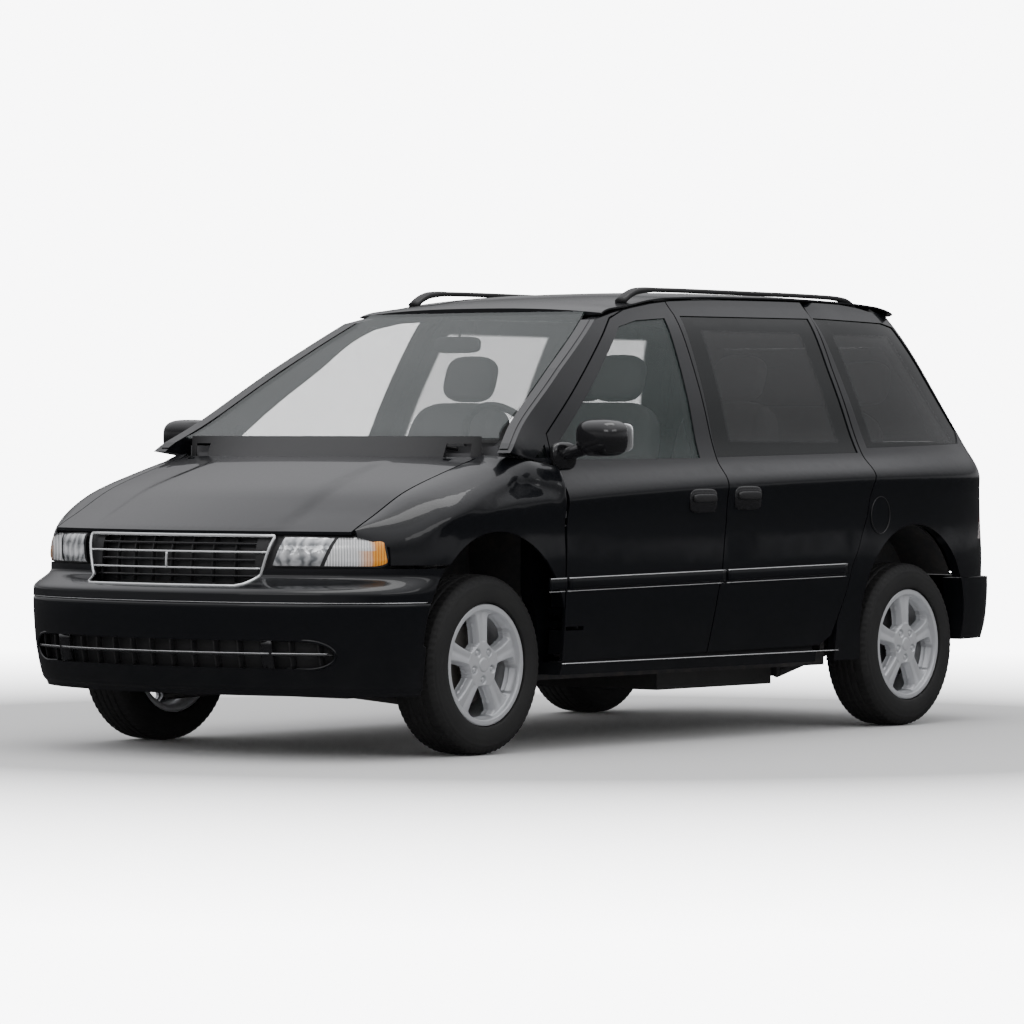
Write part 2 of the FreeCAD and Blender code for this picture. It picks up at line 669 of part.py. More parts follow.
grille = grille.fuse(mirrored(grille))

# Front bumper: its own nose below the face, with a shelf between
BUMPER_NOSE_SHARES = [(0.13, -0.303), (0.17, -0.316), (0.25, -0.3262), (0.31, -0.3283), (0.345, -0.3275)]
bumper_low = high(0.133)
bumper_high = high(0.343)
bumper_wall = 22
bumper_start = front_start_share


def bumper_point(u, v, depth=0.0):
    z = bumper_low + (bumper_high - bumper_low) * v
    nose_x = along(smooth(BUMPER_NOSE_SHARES, z / roof_height)) - depth
    x, y = front_point(z, nose_x, side_width(along(front_start_share), max(z, sill_height)) - depth, u)
    return Vector(x, y, z)


def whole_width(point):
    """The same surface over both sides: u runs from one side (0) over the middle (0.5) to the other (1)."""
    def wide(u, v, depth=0.0):
        near = point(1 - abs(2 * u - 1), v, depth)
        return near if u <= 0.5 else Vector(near.x, -near.y, near.z)
    return wide


WIDE_COLUMNS = [share / 2 for share in EDGE_COLUMNS] + [1 - share / 2 for share in reversed(EDGE_COLUMNS[:-1])]
wide_bumper_point = whole_width(bumper_point)
wide_face_point = whole_width(face_point)
bumper = layer(wide_bumper_point, 0.0, bumper_wall, WIDE_COLUMNS, spread(9))
shelf_points = [wide_bumper_point(u, 1.0) for u in WIDE_COLUMNS]
shelf_back = [wide_face_point(u, 0.0) for u in WIDE_COLUMNS]
shelf_front_inset = 10
shelf_back_inset = 12
shelf_wall = 14
shelf_top = face_low + 1


def shelf_edge(points, inset):
    """Smooth edge of the shelf: the given edge, moved inwards into the wall that it joins."""
    edge = Part.BSplineCurve()
    edge.interpolate([Vector(p.x - inset, p.y * (1 - inset / half_width), shelf_top) for p in points])
    return edge.toShape()


shelf = Part.makeRuledSurface(shelf_edge(shelf_points, shelf_front_inset), shelf_edge(shelf_back, shelf_back_inset))
shelf = shelf.extrude(Vector(0, 0, -shelf_wall))
wide_face_layer = layer(wide_face_point, 0.0, face_wall, WIDE_COLUMNS, spread(7))
strip_region = box(0, overall_length, -overrun, overrun, 0, strip_high)
strip_side = box(strip_rear + seam_gap, overall_length, lamp_inner, overrun, strip_high - 1, high(0.425))
strip_side = strip_side.fuse(box(along(-0.1), strip_rear + seam_gap, lamp_inner, overrun, strip_high - 1,
                                 bumper_seam - seam_gap))
strip_side = strip_side.cut(side_prism(lamp_points, -seam_gap / 2))
strip_region = strip_region.fuse(strip_side).fuse(mirrored(strip_side))
strip = wide_face_layer.common(strip_region)
bumper = bumper.fuse(shelf).fuse(strip)
lower_grille_hole = box(0, overall_length, -aside(0.53), aside(0.53), high(0.18), high(0.29))
bumper = bumper.cut(lower_grille_hole).cut(front_arch).cut(mirrored(front_arch))
lower_layer = layer(wide_bumper_point, bumper_wall + 5, bumper_wall + 18, WIDE_COLUMNS, spread(9))
lower_grille = lower_layer.common(box(0, overall_length, -aside(0.53) - 12, aside(0.53) + 12, high(0.175),
                                      high(0.295)))

# Rear: quarter panel, lamps, liftgate and bumper on one wrapped surface
rear_top = cant_height(along(1.163)) - 2
REAR_COLUMNS = [0.0, 0.1, 0.2, 0.28, 0.34, 0.38, 0.41, 0.44, 0.47, 0.5, 0.53, 0.56, 0.59, 0.63, 0.68, 0.74, 0.82, 0.91,
                1.0]


def rear_surface(u, v, depth=0.0):
    x_guess = rear_point(high(0.55), u, along(rear_start_share))[0]
    place = max(x_guess, along(1.2))
    level = 3 * v
    crease, belt = crease_height(place), belt_height(place)
    if level <= 1:
        z = sill_height + (crease - sill_height) * level
    elif level <= 2:
        z = crease + (belt - crease) * (level - 1)
    else:
        z = belt + (cant_height(max(place, along(1.14))) - belt) * (level - 2)
    x, y = rear_point(z, u, place, depth)
    return Vector(x, y, z)


quarter_wall = 40
gate_wall = 60
quarter_layer = layer(rear_surface, 0.0, quarter_wall, REAR_COLUMNS, SIDE_ROWS)
gate_layer = layer(rear_surface, 0.0, gate_wall, REAR_COLUMNS, SIDE_ROWS)
rear_glass_layer = layer(rear_surface, glass_inset, glass_inset + glass_wall, REAR_COLUMNS, SIDE_ROWS)
gate_low = high(0.345)
gate_half = [(0.0, gate_low), (aside(0.76), gate_low), (aside(0.775), high(0.61)), (aside(0.70), high(0.76)),
             (aside(0.60), high(0.88)), (aside(0.50), roof_height), (0.0, roof_height)]
gate_points = gate_half[1:6] + [(-y, z) for y, z in reversed(gate_half[1:6])]
rear_far = -overall_length * 0.6
rear_near = along(1.10)
gate_region = rear_prism(gate_points, 0.0, rear_near, rear_far)
gate_cut = rear_prism(gate_points, seam_gap, rear_near, rear_far)
rear_bumper_high = high(0.341)
lamp_outline = [Vector(x, 0, z) for x, z in [(along(1.222), high(0.612)), (along(1.215), high(0.523)),
                                             (along(1.19), high(0.43)), (along(1.5), high(0.43)),
                                             (along(1.5), high(0.612))]]
behind_c = side_prism(outline(BEHIND_C_SHARES), seam_gap / 2)
behind_flange = side_prism(outline(BEHIND_C_SHARES), -inset + fit_gap)
quarter_step = layer(rear_surface, skin_wall + 8, quarter_wall, REAR_COLUMNS, SIDE_ROWS).common(behind_flange)
quarter_window = side_prism(outline(QUARTER_WINDOW_SHARES))
quarter = quarter_layer.common(behind_c).cut(gate_region).cut(side_prism(lamp_outline)).cut(rear_arch)
quarter = quarter.cut(quarter_window).cut(box(-overall_length, arch_rear_x, 0, overrun * 1.2, 0, rear_bumper_high))
quarter = quarter.cut(above_rail(roof_seat))
quarter_step = quarter_step.cut(behind_c).cut(gate_region).cut(rear_arch).cut(quarter_window)
quarter = quarter.fuse(quarter_step.cut(above_rail(roof_seat)))
quarter = max(quarter.Solids, key=lambda solid: solid.Volume)
side_frame = side_frame.cut(front_arch).cut(rear_arch)
side_frame = max(side_frame.Solids, key=lambda solid: solid.Volume)
quarter_pane = rear_glass_layer.common(side_prism(outline(QUARTER_WINDOW_SHARES), fit_gap))
tail_lamp = gate_layer.common(side_prism(lamp_outline, fit_gap)).cut(gate_region)
tail_lamp = max(tail_lamp.Solids, key=lambda solid: solid.Volume)
gate = gate_layer.fuse(mirrored(gate_layer)).common(gate_cut)
gate_top = roof_point(1.0, 0.0).z - roof_wall - 8
gate = gate.cut(box(-overall_length, 0, -overrun, overrun, gate_top, roof_height * 1.1))
gate_window = [(aside(0.62), high(0.66)), (aside(0.565), high(0.76)), (aside(0.46), high(0.885)),
               (-aside(0.46), high(0.885)), (-aside(0.565), high(0.76)), (-aside(0.62), high(0.66))]
gate = gate.cut(rear_prism(gate_window, 0.0, rear_near, rear_far))
gate_hinge_x = along(roof_rear_share) - 16
gate_hinge_z = gate_top - 14
gate_hinge_y = aside(0.36)
for sign in (1, -1):
    middle = Vector(gate_hinge_x, sign * gate_hinge_y, gate_hinge_z)
    still, moving = barrels(middle, ACROSS, hinge_radius, barrel_length)
    reach = barrel_length * 1.5 + fit_gap
    gate = gate.cut(box(gate_hinge_x - 14, gate_hinge_x + 60, middle.y - reach - 6, middle.y + reach + 6,
                        gate_hinge_z - 24, gate_hinge_z + 40))
    gate = gate.fuse(moving).fuse(box(gate_hinge_x - 22, gate_hinge_x, middle.y - barrel_length / 2,
                                      middle.y + barrel_length / 2, gate_hinge_z - 7, gate_hinge_z + 7))
    for barrel in still:
        centre = barrel.CenterOfMass
        under_roof = roof_point(1.0, (1 - centre.y / roof_edge(along(roof_rear_share))) / 2).z - roof_wall / 2
        bracket = box(centre.x, centre.x + 30, centre.y - barrel_length / 2, centre.y + barrel_length / 2,
                      centre.z - 6, centre.z + 6)
        bracket = bracket.fuse(box(centre.x + 20, centre.x + 50, centre.y - barrel_length / 2,
                                   centre.y + barrel_length / 2, centre.z - 6, under_roof))
        roof = roof.fuse(barrel).fuse(bracket)
gate_pane = rear_glass_layer.fuse(mirrored(rear_glass_layer))
gate_pane = gate_pane.common(rear_prism(gate_window, fit_gap, rear_near, rear_far))

TAIL_BUMPER_SHARES = [(0.19, 1.292), (0.25, 1.303), (0.30, 1.3047), (0.341, 1.3035)]


def rear_bumper_point(u, v, depth=0.0):
    z = high(0.195) + (rear_bumper_high - high(0.195)) * v
    width = side_width(along(1.0), max(z, sill_height)) - depth
    tail_x = along(smooth(TAIL_BUMPER_SHARES, z / roof_height)) + depth
    x, y = corner(along(rear_start_share), tail_x, width, rear_square, u)
    return Vector(x + rear_bow * (y / width) ** 2, y, z)


rear_bumper = layer(rear_bumper_point, 0.0, 95, REAR_COLUMNS, spread(8))
rear_bumper = rear_bumper.common(box(-overall_length, arch_rear_x - 10, -1, overrun * 1.2, 0, rear_bumper_high - 2))
rear_bumper = rear_bumper.cut(rear_arch)
rear_bumper = rear_bumper.fuse(mirrored(rear_bumper))

# Cowl: dark panel between the hood and the windscreen, with two wipers
cowl_gap = seam_gap
cowl_corner_gap = 20
cowl_screen_gap = 8
cowl_screen_lift = 9
cowl_end_share = 0.025


def cowl_point(u, v, depth=0.0):
    y = (aside(hood_half_share) - seam_gap) * (1 - 2 * v)
    bow = hood_bow * (y / aside(hood_half_share)) ** 2
    x0 = along(hood_rear_share) - bow - cowl_gap - cowl_corner_gap * (y / aside(hood_half_share)) ** 4
    z0 = hood_height(x0, y) - 6
    edge = screen_point(0.5 - y / (2 * screen_edge(screen_foot)), cowl_end_share)
    rear_x, rear_z = edge.x + cowl_screen_gap, edge.z + cowl_screen_lift
    return Vector(x0 + (rear_x - x0) * u, y, z0 + (rear_z - z0) * u - depth * (1 - 0.85 * u))


cowl = layer(cowl_point, 0.0, 26, spread(4), spread(15))
for sign in (1, -1):
    cowl = cowl.cut(box(hood_hinge_x - 12, hood_hinge_x + 100, sign * hood_hinge_y - 50, sign * hood_hinge_y + 50,
                        hood_hinge_z - 60, hood_hinge_z + 60))
cowl = max(cowl.Solids, key=lambda solid: solid.Volume)
print("skins done")

# Inner structure
firewall_x = along(0.05)
floor_half = aside(0.965) - door_wall - 70
floor_front = along(0.15)
floor_rear = along(1.205)
bumper_side_x = along(1.11)
rear_floor_height = floor_height + 140
step_x = along(0.84)
floor = box(step_x, floor_front, -floor_half, floor_half, floor_height - floor_wall, floor_height)
floor = floor.fuse(box(bumper_side_x, step_x, -floor_half, floor_half, rear_floor_height - 40, rear_floor_height))
floor = floor.fuse(box(floor_rear, bumper_side_x, -aside(0.78), aside(0.78), rear_floor_height - 40, rear_floor_height))
floor = floor.fuse(box(step_x - 30, step_x, -floor_half, floor_half, floor_height - floor_wall, rear_floor_height))
wheel_room = 60
wheelhouse_inner = size("rear_half_track") - size("tyre_width") / 2 - 45
for sign in (1, -1):
    well = Part.makeCylinder(arch_rear_radius + 12, overrun, Vector(arch_rear_x, sign * wheelhouse_inner, arch_rear_z),
                             ACROSS * sign)
    floor = floor.cut(well).cut(box(arch_rear_x - arch_rear_radius - 12, arch_rear_x + arch_rear_radius + 12,
                                    min(sign * wheelhouse_inner, sign * overrun),
                                    max(sign * wheelhouse_inner, sign * overrun), 0, arch_rear_z))
house = Part.makeCylinder(arch_rear_radius + 12, overrun, Vector(arch_rear_x, wheelhouse_inner - 6, arch_rear_z), ACROSS)
house = house.cut(Part.makeCylinder(arch_rear_radius + 6, overrun, Vector(arch_rear_x, wheelhouse_inner, arch_rear_z),
                                    ACROSS))
house = house.common(box(-overall_length, overall_length, 0, aside(0.965) - quarter_wall - 8,
                         rear_floor_height - 40, roof_height))
house = house.cut(box(-overall_length, along(1.112), 0, overrun, 0, rear_bumper_high + 12))
floor = floor.fuse(house).fuse(mirrored(house))
floor = floor.cut(side_frame).cut(mirrored(side_frame)).cut(rear_bumper)
apron_y = aside(0.50)
bulkhead = box(firewall_x, firewall_x + 12, -apron_y, apron_y, floor_height, high(0.59))
bulkhead = bulkhead.fuse(box(firewall_x, firewall_x + 12, -aside(0.76), aside(0.76), high(0.47), high(0.59)))
house_wall_x = along(0.139)
apron = box(house_wall_x, along(-0.20), apron_y, apron_y + 12, floor_height - floor_wall, high(0.44))
apron = apron.fuse(box(house_wall_x, house_wall_x + 6, apron_y, aside(0.781), floor_height - floor_wall, high(0.48)))
apron = apron.fuse(box(house_wall_x, firewall_x + 12, apron_y, aside(0.76), high(0.47), high(0.48)))
support = box(along(-0.215), along(-0.20), -aside(0.62), aside(0.62), floor_height - floor_wall, high(0.44))
crash_rail = box(along(-0.215), along(-0.277), apron_y - 60, apron_y, high(0.20), high(0.26))
toe = box(floor_front, firewall_x + 12, -aside(0.50), aside(0.50), floor_height - floor_wall, floor_height)
front_structure = bulkhead.fuse(apron).fuse(mirrored(apron)).fuse(support).fuse(toe)
front_structure = front_structure.fuse(crash_rail).fuse(mirrored(crash_rail))
for still in hood_mounts:
    for barrel in still:
        centre = barrel.CenterOfMass
        front_structure = front_structure.fuse(barrel)
        front_structure = front_structure.fuse(
            box(firewall_x, centre.x + 5, centre.y - barrel_length / 2, centre.y + barrel_length / 2, high(0.585),
                centre.z))
dashboard = box(along(0.145), along(0.07), -aside(0.82), aside(0.82), high(0.485), high(0.645))
dashboard = dashboard.fuse(box(along(0.145), house_wall_x - 2, -aside(0.82), aside(0.82), high(0.46), high(0.5)))
dashboard = dashboard.fuse(box(along(0.07), firewall_x - fit_gap, -aside(0.74), aside(0.74), high(0.485), high(0.63)))
dashboard = dashboard.cut(side_frame).cut(mirrored(side_frame)).cut(windscreen)
dashboard = dashboard.cut(front_door).cut(mirrored(front_door)).cut(fender).cut(mirrored(fender))
dashboard = max(dashboard.Solids, key=lambda solid: solid.Volume)
wheel_middle = Vector(along(0.27), aside(0.38), high(0.645))
column_axis = Vector(-math.cos(math.radians(28)), 0, math.sin(math.radians(28)))
steering = Part.makeTorus(185, 15, wheel_middle, column_axis)
steering = steering.fuse(rod(wheel_middle, wheel_middle - column_axis * 450, 28))
steering = steering.fuse(Part.makeBox(40, 350, 30, wheel_middle + Vector(-20, -175, -15)))
dashboard = dashboard.fuse(steering)


def seat(x, y, width, cushion_z, stand_z):
    cushion = box(x - 520, x, y - width / 2, y + width / 2, cushion_z - 130, cushion_z)
    back = Part.makeBox(130, width, 690, Vector(x - 560, y - width / 2, cushion_z - 60))
    back.rotate(Vector(x - 520, y, cushion_z), ACROSS, -18)
    head = Part.makeBox(90, 270, 200, Vector(x - 545, y - 135, cushion_z + 625))
    head.rotate(Vector(x - 520, y, cushion_z), ACROSS, -18)
    base = box(x - 480, x - 60, y - width / 3, y + width / 3, stand_z, cushion_z - 130)
    return cushion.fuse(back).fuse(head).fuse(base)


front_seat = seat(along(0.258), aside(0.40), 520, high(0.385), floor_height)
front_seats = both(front_seat)
second_seats = both(seat(along(0.54), aside(0.43), 500, high(0.39), floor_height))
third_seat = seat(along(0.895), 0, 1040, high(0.385), rear_floor_height)
subframe_top = tyre_radius - 80
engine = box(along(-0.17), along(0.01), -aside(0.42), aside(0.42), subframe_top, high(0.46))

# Running gear
wheel_z = tyre_radius
front_track = size("front_half_track")
rear_track = size("rear_half_track")
tyre_width = size("tyre_width")
rim_radius = size("rim_radius")
rim_width = size("rim_width")


def revolved(profile, x, y, z):
    """Solid of revolution about the axle from (radius, offset along the axle) pairs."""
    points = [Vector(0, offset, radius) for radius, offset in profile]
    face = Part.Face(Part.makePolygon(points + [points[0]]))
    solid = face.revolve(ORIGIN, ACROSS, 360)
    solid.translate(Vector(x, y, z))
    return solid


seat_radius = rim_radius - 14
bead_gap = 0.8
tyre_profile = [(seat_radius + bead_gap, -rim_width / 2 + 9), (rim_radius + bead_gap, -rim_width / 2 + 7),
                (rim_radius + bead_gap, -rim_width / 2 - 2),
                (tyre_radius * 0.8, -tyre_width / 2), (tyre_radius * 0.93, -tyre_width / 2 + 8),
                (tyre_radius - 4, -tyre_width / 2 + 34), (tyre_radius, -tyre_width / 4), (tyre_radius, tyre_width / 4),
                (tyre_radius - 4, tyre_width / 2 - 34), (tyre_radius * 0.93, tyre_width / 2 - 8),
                (tyre_radius * 0.8, tyre_width / 2), (rim_radius + bead_gap, rim_width / 2 + 2),
                (rim_radius + bead_gap, rim_width / 2 - 7), (seat_radius + bead_gap, rim_width / 2 - 9)]
barrel_profile = [(rim_radius, -rim_width / 2), (rim_radius, -rim_width / 2 + 6),
                  (seat_radius, -rim_width / 2 + 8), (seat_radius, rim_width / 2 - 8),
                  (rim_radius, rim_width / 2 - 6), (rim_radius, rim_width / 2), (seat_radius - 6, rim_width / 2),
                  (seat_radius - 12, 0), (seat_radius - 12, -rim_width / 2)]
hub_radius = 74
hub_back = 30
disc_profile = [(0.0, hub_back), (hub_radius, hub_back), (hub_radius + 6, 80), (28, 84), (26, 92), (0.0, 92)]


def rim_shape(x, y, side):
    body = revolved(barrel_profile, 0, 0, 0).fuse(revolved(disc_profile, 0, 0, 0))
    for index in range(5):
        spoke = box(-34, 34, 62, 90, hub_radius - 20, seat_radius - 5)
        spoke.rotate(ORIGIN, ACROSS, index * 360 / 5)
        body = body.fuse(spoke)
    if side < 0:
        body = mirrored(body)
    body.translate(Vector(x, y, wheel_z))
    return body


def tyre_shape(x, y):
    return revolved(tyre_profile, x, y, wheel_z)


for end, axle_x, track in (("front", front_axle_x, front_track), ("rear", rear_axle_x, rear_track)):
    for name, side in (("left", 1), ("right", -1)):
        add_part("rim_%s_%s" % (end, name), rim_shape(axle_x, side * track, side))
        add_part("tyre_%s_%s" % (end, name), tyre_shape(axle_x, side * track))

# Steering knuckle: turns about a line that leans inwards at the top, from the ball joint to the strut
hub_gap = fit_gap
joint_low = Vector(front_axle_x, front_track - 58, tyre_radius - 153)
joint_high = Vector(front_axle_x, front_track - 200, tyre_radius + 482)
king_line = joint_high - joint_low
king_line.normalize()
kingpin = joint_low + king_line * (153 / king_line.z)
disc_radius = 150
knuckle = revolved([(0, hub_back - hub_gap), (60, hub_back - hub_gap), (60, hub_back - 22), (disc_radius, hub_back - 22),
                    (disc_radius, hub_back - 48), (60, hub_back - 48), (45, -70), (0, -70)],
                   front_axle_x, front_track, tyre_radius)
post_low = joint_low + king_line * 36
post_high = kingpin + king_line * 150
knuckle = knuckle.fuse(rod(post_low, post_high, 22))
knuckle = knuckle.fuse(rod(kingpin - king_line * 40, kingpin - king_line * 40 + Vector(-130, -30, 0), 12))
knuckle = knuckle.cut(rod(joint_low, joint_low + king_line * 36, 60))
strut_low = post_high + king_line * 1
strut_high = joint_high
strut = rod(strut_low, strut_high, 26).fuse(rod(strut_low + king_line * 222, strut_high - king_line * 4, 62))
tower_z = strut_high.z
strut = strut.fuse(box(front_axle_x - 80, front_axle_x + 80, apron_y + 12, strut_high.y + 70, tower_z - 14, tower_z))
ball = rod(joint_low - king_line * 8, joint_low + king_line * (36 - fit_gap), 20)
arm = ball
arm_z = tyre_radius - 125
for reach in (-130, 130):
    arm = arm.fuse(rod(joint_low - UP * 16, Vector(front_axle_x + reach, aside(0.36), arm_z), 17))
subframe = box(front_axle_x - 240, front_axle_x + 200, -aside(0.38), aside(0.38), tyre_radius - 140, subframe_top)
suspension = subframe.fuse(arm).fuse(mirrored(arm)).fuse(strut).fuse(mirrored(strut))
rear_hub = revolved([(0, hub_back - hub_gap), (60, hub_back - hub_gap), (60, hub_back - 22), (disc_radius, hub_back - 22),
                     (disc_radius, hub_back - 40), (60, hub_back - 40), (45, -60), (0, -60)],
                    rear_axle_x, rear_track, wheel_z)
beam = rod(Vector(rear_axle_x, -rear_track + 60, wheel_z), Vector(rear_axle_x, rear_track - 60, wheel_z), 36)
link_end = Vector(step_x + 22, aside(0.58), floor_height - floor_wall - 38)
link = rod(Vector(rear_axle_x, aside(0.6), wheel_z), link_end, 22)
link = link.fuse(box(link_end.x - 8, link_end.x + 22, link_end.y - 20, link_end.y + 20, link_end.z - 14,
                     floor_height - floor_wall))
spring = rod(Vector(rear_axle_x, aside(0.52), wheel_z), Vector(rear_axle_x, aside(0.52), rear_floor_height - 40), 48)
rear_axle = beam.fuse(rear_hub).fuse(mirrored(rear_hub)).fuse(link).fuse(mirrored(link))
rear_axle = rear_axle.fuse(spring).fuse(mirrored(spring))
tank_depth = 80
tank = box(along(0.80), along(0.52), aside(-0.1), aside(0.62), floor_height - floor_wall - tank_depth,
           floor_height - floor_wall)
pipe_z = floor_height - floor_wall - 36
muffler = rod(Vector(along(1.10), aside(-0.30), pipe_z + 70), Vector(along(1.235), aside(-0.30), pipe_z + 70), 85)
pipe = rod(Vector(along(0.14), aside(-0.25), pipe_z), Vector(along(0.90), aside(-0.30), pipe_z), 26)
pipe = pipe.fuse(rod(Vector(along(0.90), aside(-0.30), pipe_z), Vector(along(1.12), aside(-0.30), pipe_z), 26))
for share, y_share in ((0.3, -0.2605), (0.6, -0.2805)):
    pipe = pipe.fuse(box(along(share) - 12, along(share) + 12, aside(y_share) - 9, aside(y_share) + 9, pipe_z,
                         floor_height - floor_wall))
exhaust = muffler.fuse(pipe)
rail = rod(Vector(along(0.46), aside(0.56), high(1.002)), Vector(along(1.04), aside(0.56), high(1.002)), 14)
for foot_share in (0.46, 0.75, 1.04):
    x = along(foot_share)
    rail = rail.fuse(rod(Vector(x, aside(0.56), high(0.96)), Vector(x, aside(0.56), high(1.002)), 18))
rail = rail.cut(roof)
rail = max(rail.Solids, key=lambda solid: solid.Volume)
mirror_round = 48
mirror = box(along(0.21), along(0.15), aside(0.99), aside(0.99) + 220, high(0.625), high(0.71))
mirror = mirror.makeFillet(mirror_round, mirror.Edges)
mirror = mirror.fuse(rod(Vector(along(0.162), aside(0.92), high(0.628)), Vector(along(0.162), aside(1.01), high(0.64)), 22))
mirror = mirror.cut(front_door).cut(front_pane)
mirror = max(mirror.Solids, key=lambda solid: solid.Volume)
wiper = rod(screen_point(0.33, 0.12) + Vector(12, 0, 6), screen_point(0.62, 0.10) + Vector(12, 0, 6), 6)

add_part("door_front_left", front_door)
add_part("door_front_right", mirrored(front_door))
add_part("door_glass_left", front_pane)
add_part("door_glass_right", mirrored(front_pane))
add_part("mirror_left", mirror)
add_part("mirror_right", mirrored(mirror))
add_part("sliding_doors", both(slide_door))
add_part("side_frames", both(side_frame))
add_part("side_glass", Part.makeCompound([slide_pane, triangle_pane, quarter_pane, mirrored(slide_pane),
                                          mirrored(triangle_pane), mirrored(quarter_pane)]))
add_part("roof", roof)
add_part("windscreen", windscreen)
add_part("cowl", cowl)
add_part("hood", hood)
add_part("fenders", both(fender))
add_part("headlamps", both(headlamp))
add_part("grille", Part.makeCompound([grille, lower_grille]))
add_part("bumper_front", bumper)
add_part("quarter_panels", both(quarter))
add_part("tail_lamps", both(tail_lamp))
add_part("liftgate", gate)
add_part("liftgate_glass", gate_pane)
add_part("bumper_rear", rear_bumper)
add_part("floor", floor)
add_part("front_structure", front_structure)
add_part("dashboard", dashboard)
add_part("front_seats", front_seats)
add_part("second_row_seats", second_seats)
add_part("third_row_seat", third_seat)
add_part("engine_block", engine)
add_part("knuckle_left", knuckle)
add_part("knuckle_right", mirrored(knuckle))
add_part("front_suspension", suspension)
add_part("rear_axle", rear_axle)
add_part("fuel_tank", tank)
add_part("exhaust", exhaust)
add_part("roof_rails", both(rail))
doc.recompute()
os.makedirs("parts", exist_ok=True)
for piece in parts:
    shape = piece.Shape
    print(piece.Label, shape.isValid(), len(shape.Solids), round(shape.Volume / 1e6, 2))
    shape.exportStep(os.path.join("parts", piece.Label + ".step"))
print("hood hinge", hood_hinge_x, hood_hinge_z)
print("liftgate hinge", gate_hinge_x, gate_hinge_z)
print("door hinge", door_hinge_x, door_hinge_y)
print("kingpin", kingpin, king_line)
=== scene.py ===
# %% [markdown]
# # A minivan, dressed for the camera
#
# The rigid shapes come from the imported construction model. This script gives every one of them its
# finish, and adds the thin and shiny things that a person sees from a step away: tread, lamps, trim,
# mirrors, padded seats. Everything is in metres: +X is forwards, +Y is the driver's side of this
# vehicle, +Z is up, and the ground is at zero.

# %% Load the frame
import math

import bpy
import json
import numpy as np
from mathutils import Matrix, Vector


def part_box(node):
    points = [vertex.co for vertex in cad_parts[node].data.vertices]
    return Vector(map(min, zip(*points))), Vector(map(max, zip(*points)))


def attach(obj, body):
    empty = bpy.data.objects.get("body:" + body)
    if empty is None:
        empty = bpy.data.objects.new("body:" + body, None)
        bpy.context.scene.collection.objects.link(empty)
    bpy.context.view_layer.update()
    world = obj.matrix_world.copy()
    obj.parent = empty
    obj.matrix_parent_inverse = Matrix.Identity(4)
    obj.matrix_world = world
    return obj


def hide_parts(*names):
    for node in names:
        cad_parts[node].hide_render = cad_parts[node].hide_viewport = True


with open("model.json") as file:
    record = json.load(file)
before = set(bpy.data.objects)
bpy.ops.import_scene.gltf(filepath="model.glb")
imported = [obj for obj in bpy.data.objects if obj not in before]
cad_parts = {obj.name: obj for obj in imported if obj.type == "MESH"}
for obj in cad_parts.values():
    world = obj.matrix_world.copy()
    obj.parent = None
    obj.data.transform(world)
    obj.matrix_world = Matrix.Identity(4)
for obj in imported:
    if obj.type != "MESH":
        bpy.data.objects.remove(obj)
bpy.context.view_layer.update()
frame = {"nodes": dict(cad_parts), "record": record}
nodes = frame["nodes"]

# %% [markdown]
# ## Camera
#
# A long lens from far away, a little above the bumper's height. Its place and its two angles were worked
# out from the wheels, whose real size is known. The camera looks almost level, so that upright lines
# stay upright.

# %% Camera
camera_place = Vector((16.936, 13.252, 1.181))
camera_yaw = -2.4746
camera_pitch = -0.0124
camera_roll = 0.003
focal_pixels = 5176.62
image_pixels = 1024
sensor_mm = 36.0

forward = Vector((math.cos(camera_yaw) * math.cos(camera_pitch),
                  math.sin(camera_yaw) * math.cos(camera_pitch),
                  math.sin(camera_pitch)))
level_right = Vector((math.sin(camera_yaw), -math.cos(camera_yaw), 0.0))
level_up = level_right.cross(forward)
right = level_right * math.cos(camera_roll) + level_up * math.sin(camera_roll)
up = level_up * math.cos(camera_roll) - level_right * math.sin(camera_roll)

camera_data = bpy.data.cameras.new("photo_camera")
camera_data.sensor_width = sensor_mm
camera_data.sensor_fit = "HORIZONTAL"
camera_data.lens = focal_pixels / image_pixels * sensor_mm
camera_data.clip_end = 200.0
camera = bpy.data.objects.new("photo_camera", camera_data)
bpy.context.scene.collection.objects.link(camera)
turn = Matrix((right, up, -forward)).transposed()
camera.matrix_world = Matrix.Translation(camera_place) @ turn.to_4x4()
bpy.context.scene.camera = camera
print("lens", round(camera_data.lens, 1), "mm")

# %% [markdown]
# ## Floor
#
# The vehicle stands on plain white. One pale square catches the soft shadows, and a second, glowing square
# just above it comes in with distance, so that no horizon line shows. Mirror-like rays don't see either of
# them, because black paint would show the floor as a grey band along the doors.

# %% Floor
floor_half = 60.0
haze_lift = 0.002


def stage_square(name, height):
    """A plain square at a height, four corners and one face, that belongs to the studio."""
    mesh = bpy.data.meshes.new(name)
    corners = [(x * floor_half, y * floor_half, height) for x, y in ((-1, -1), (1, -1), (1, 1), (-1, 1))]
    mesh.from_pydata(corners, [], [(0, 1, 2, 3)])
    square = bpy.data.objects.new(name, mesh)
    bpy.context.scene.collection.objects.link(square)
    square.visible_glossy = False
    return square


floor = stage_square("studio_floor", 0.0)
haze_plane = stage_square("studio_haze", haze_lift)
haze_plane.visible_diffuse = haze_plane.visible_shadow = False
print("floor", 2 * floor_half, "m wide")

# %% [markdown]
# ## Light
#
# Dark gloss paint shows its surroundings more than its own colour, so the light is planned as large pale
# surfaces: a panel above, one on the driver's side and one in front. The world has three faces. The camera
# sees white, soft light is an even grey-white, and mirror-like rays see bands from dark at the horizon to
# bright overhead, which draw the long streaks on the shoulders of the doors.


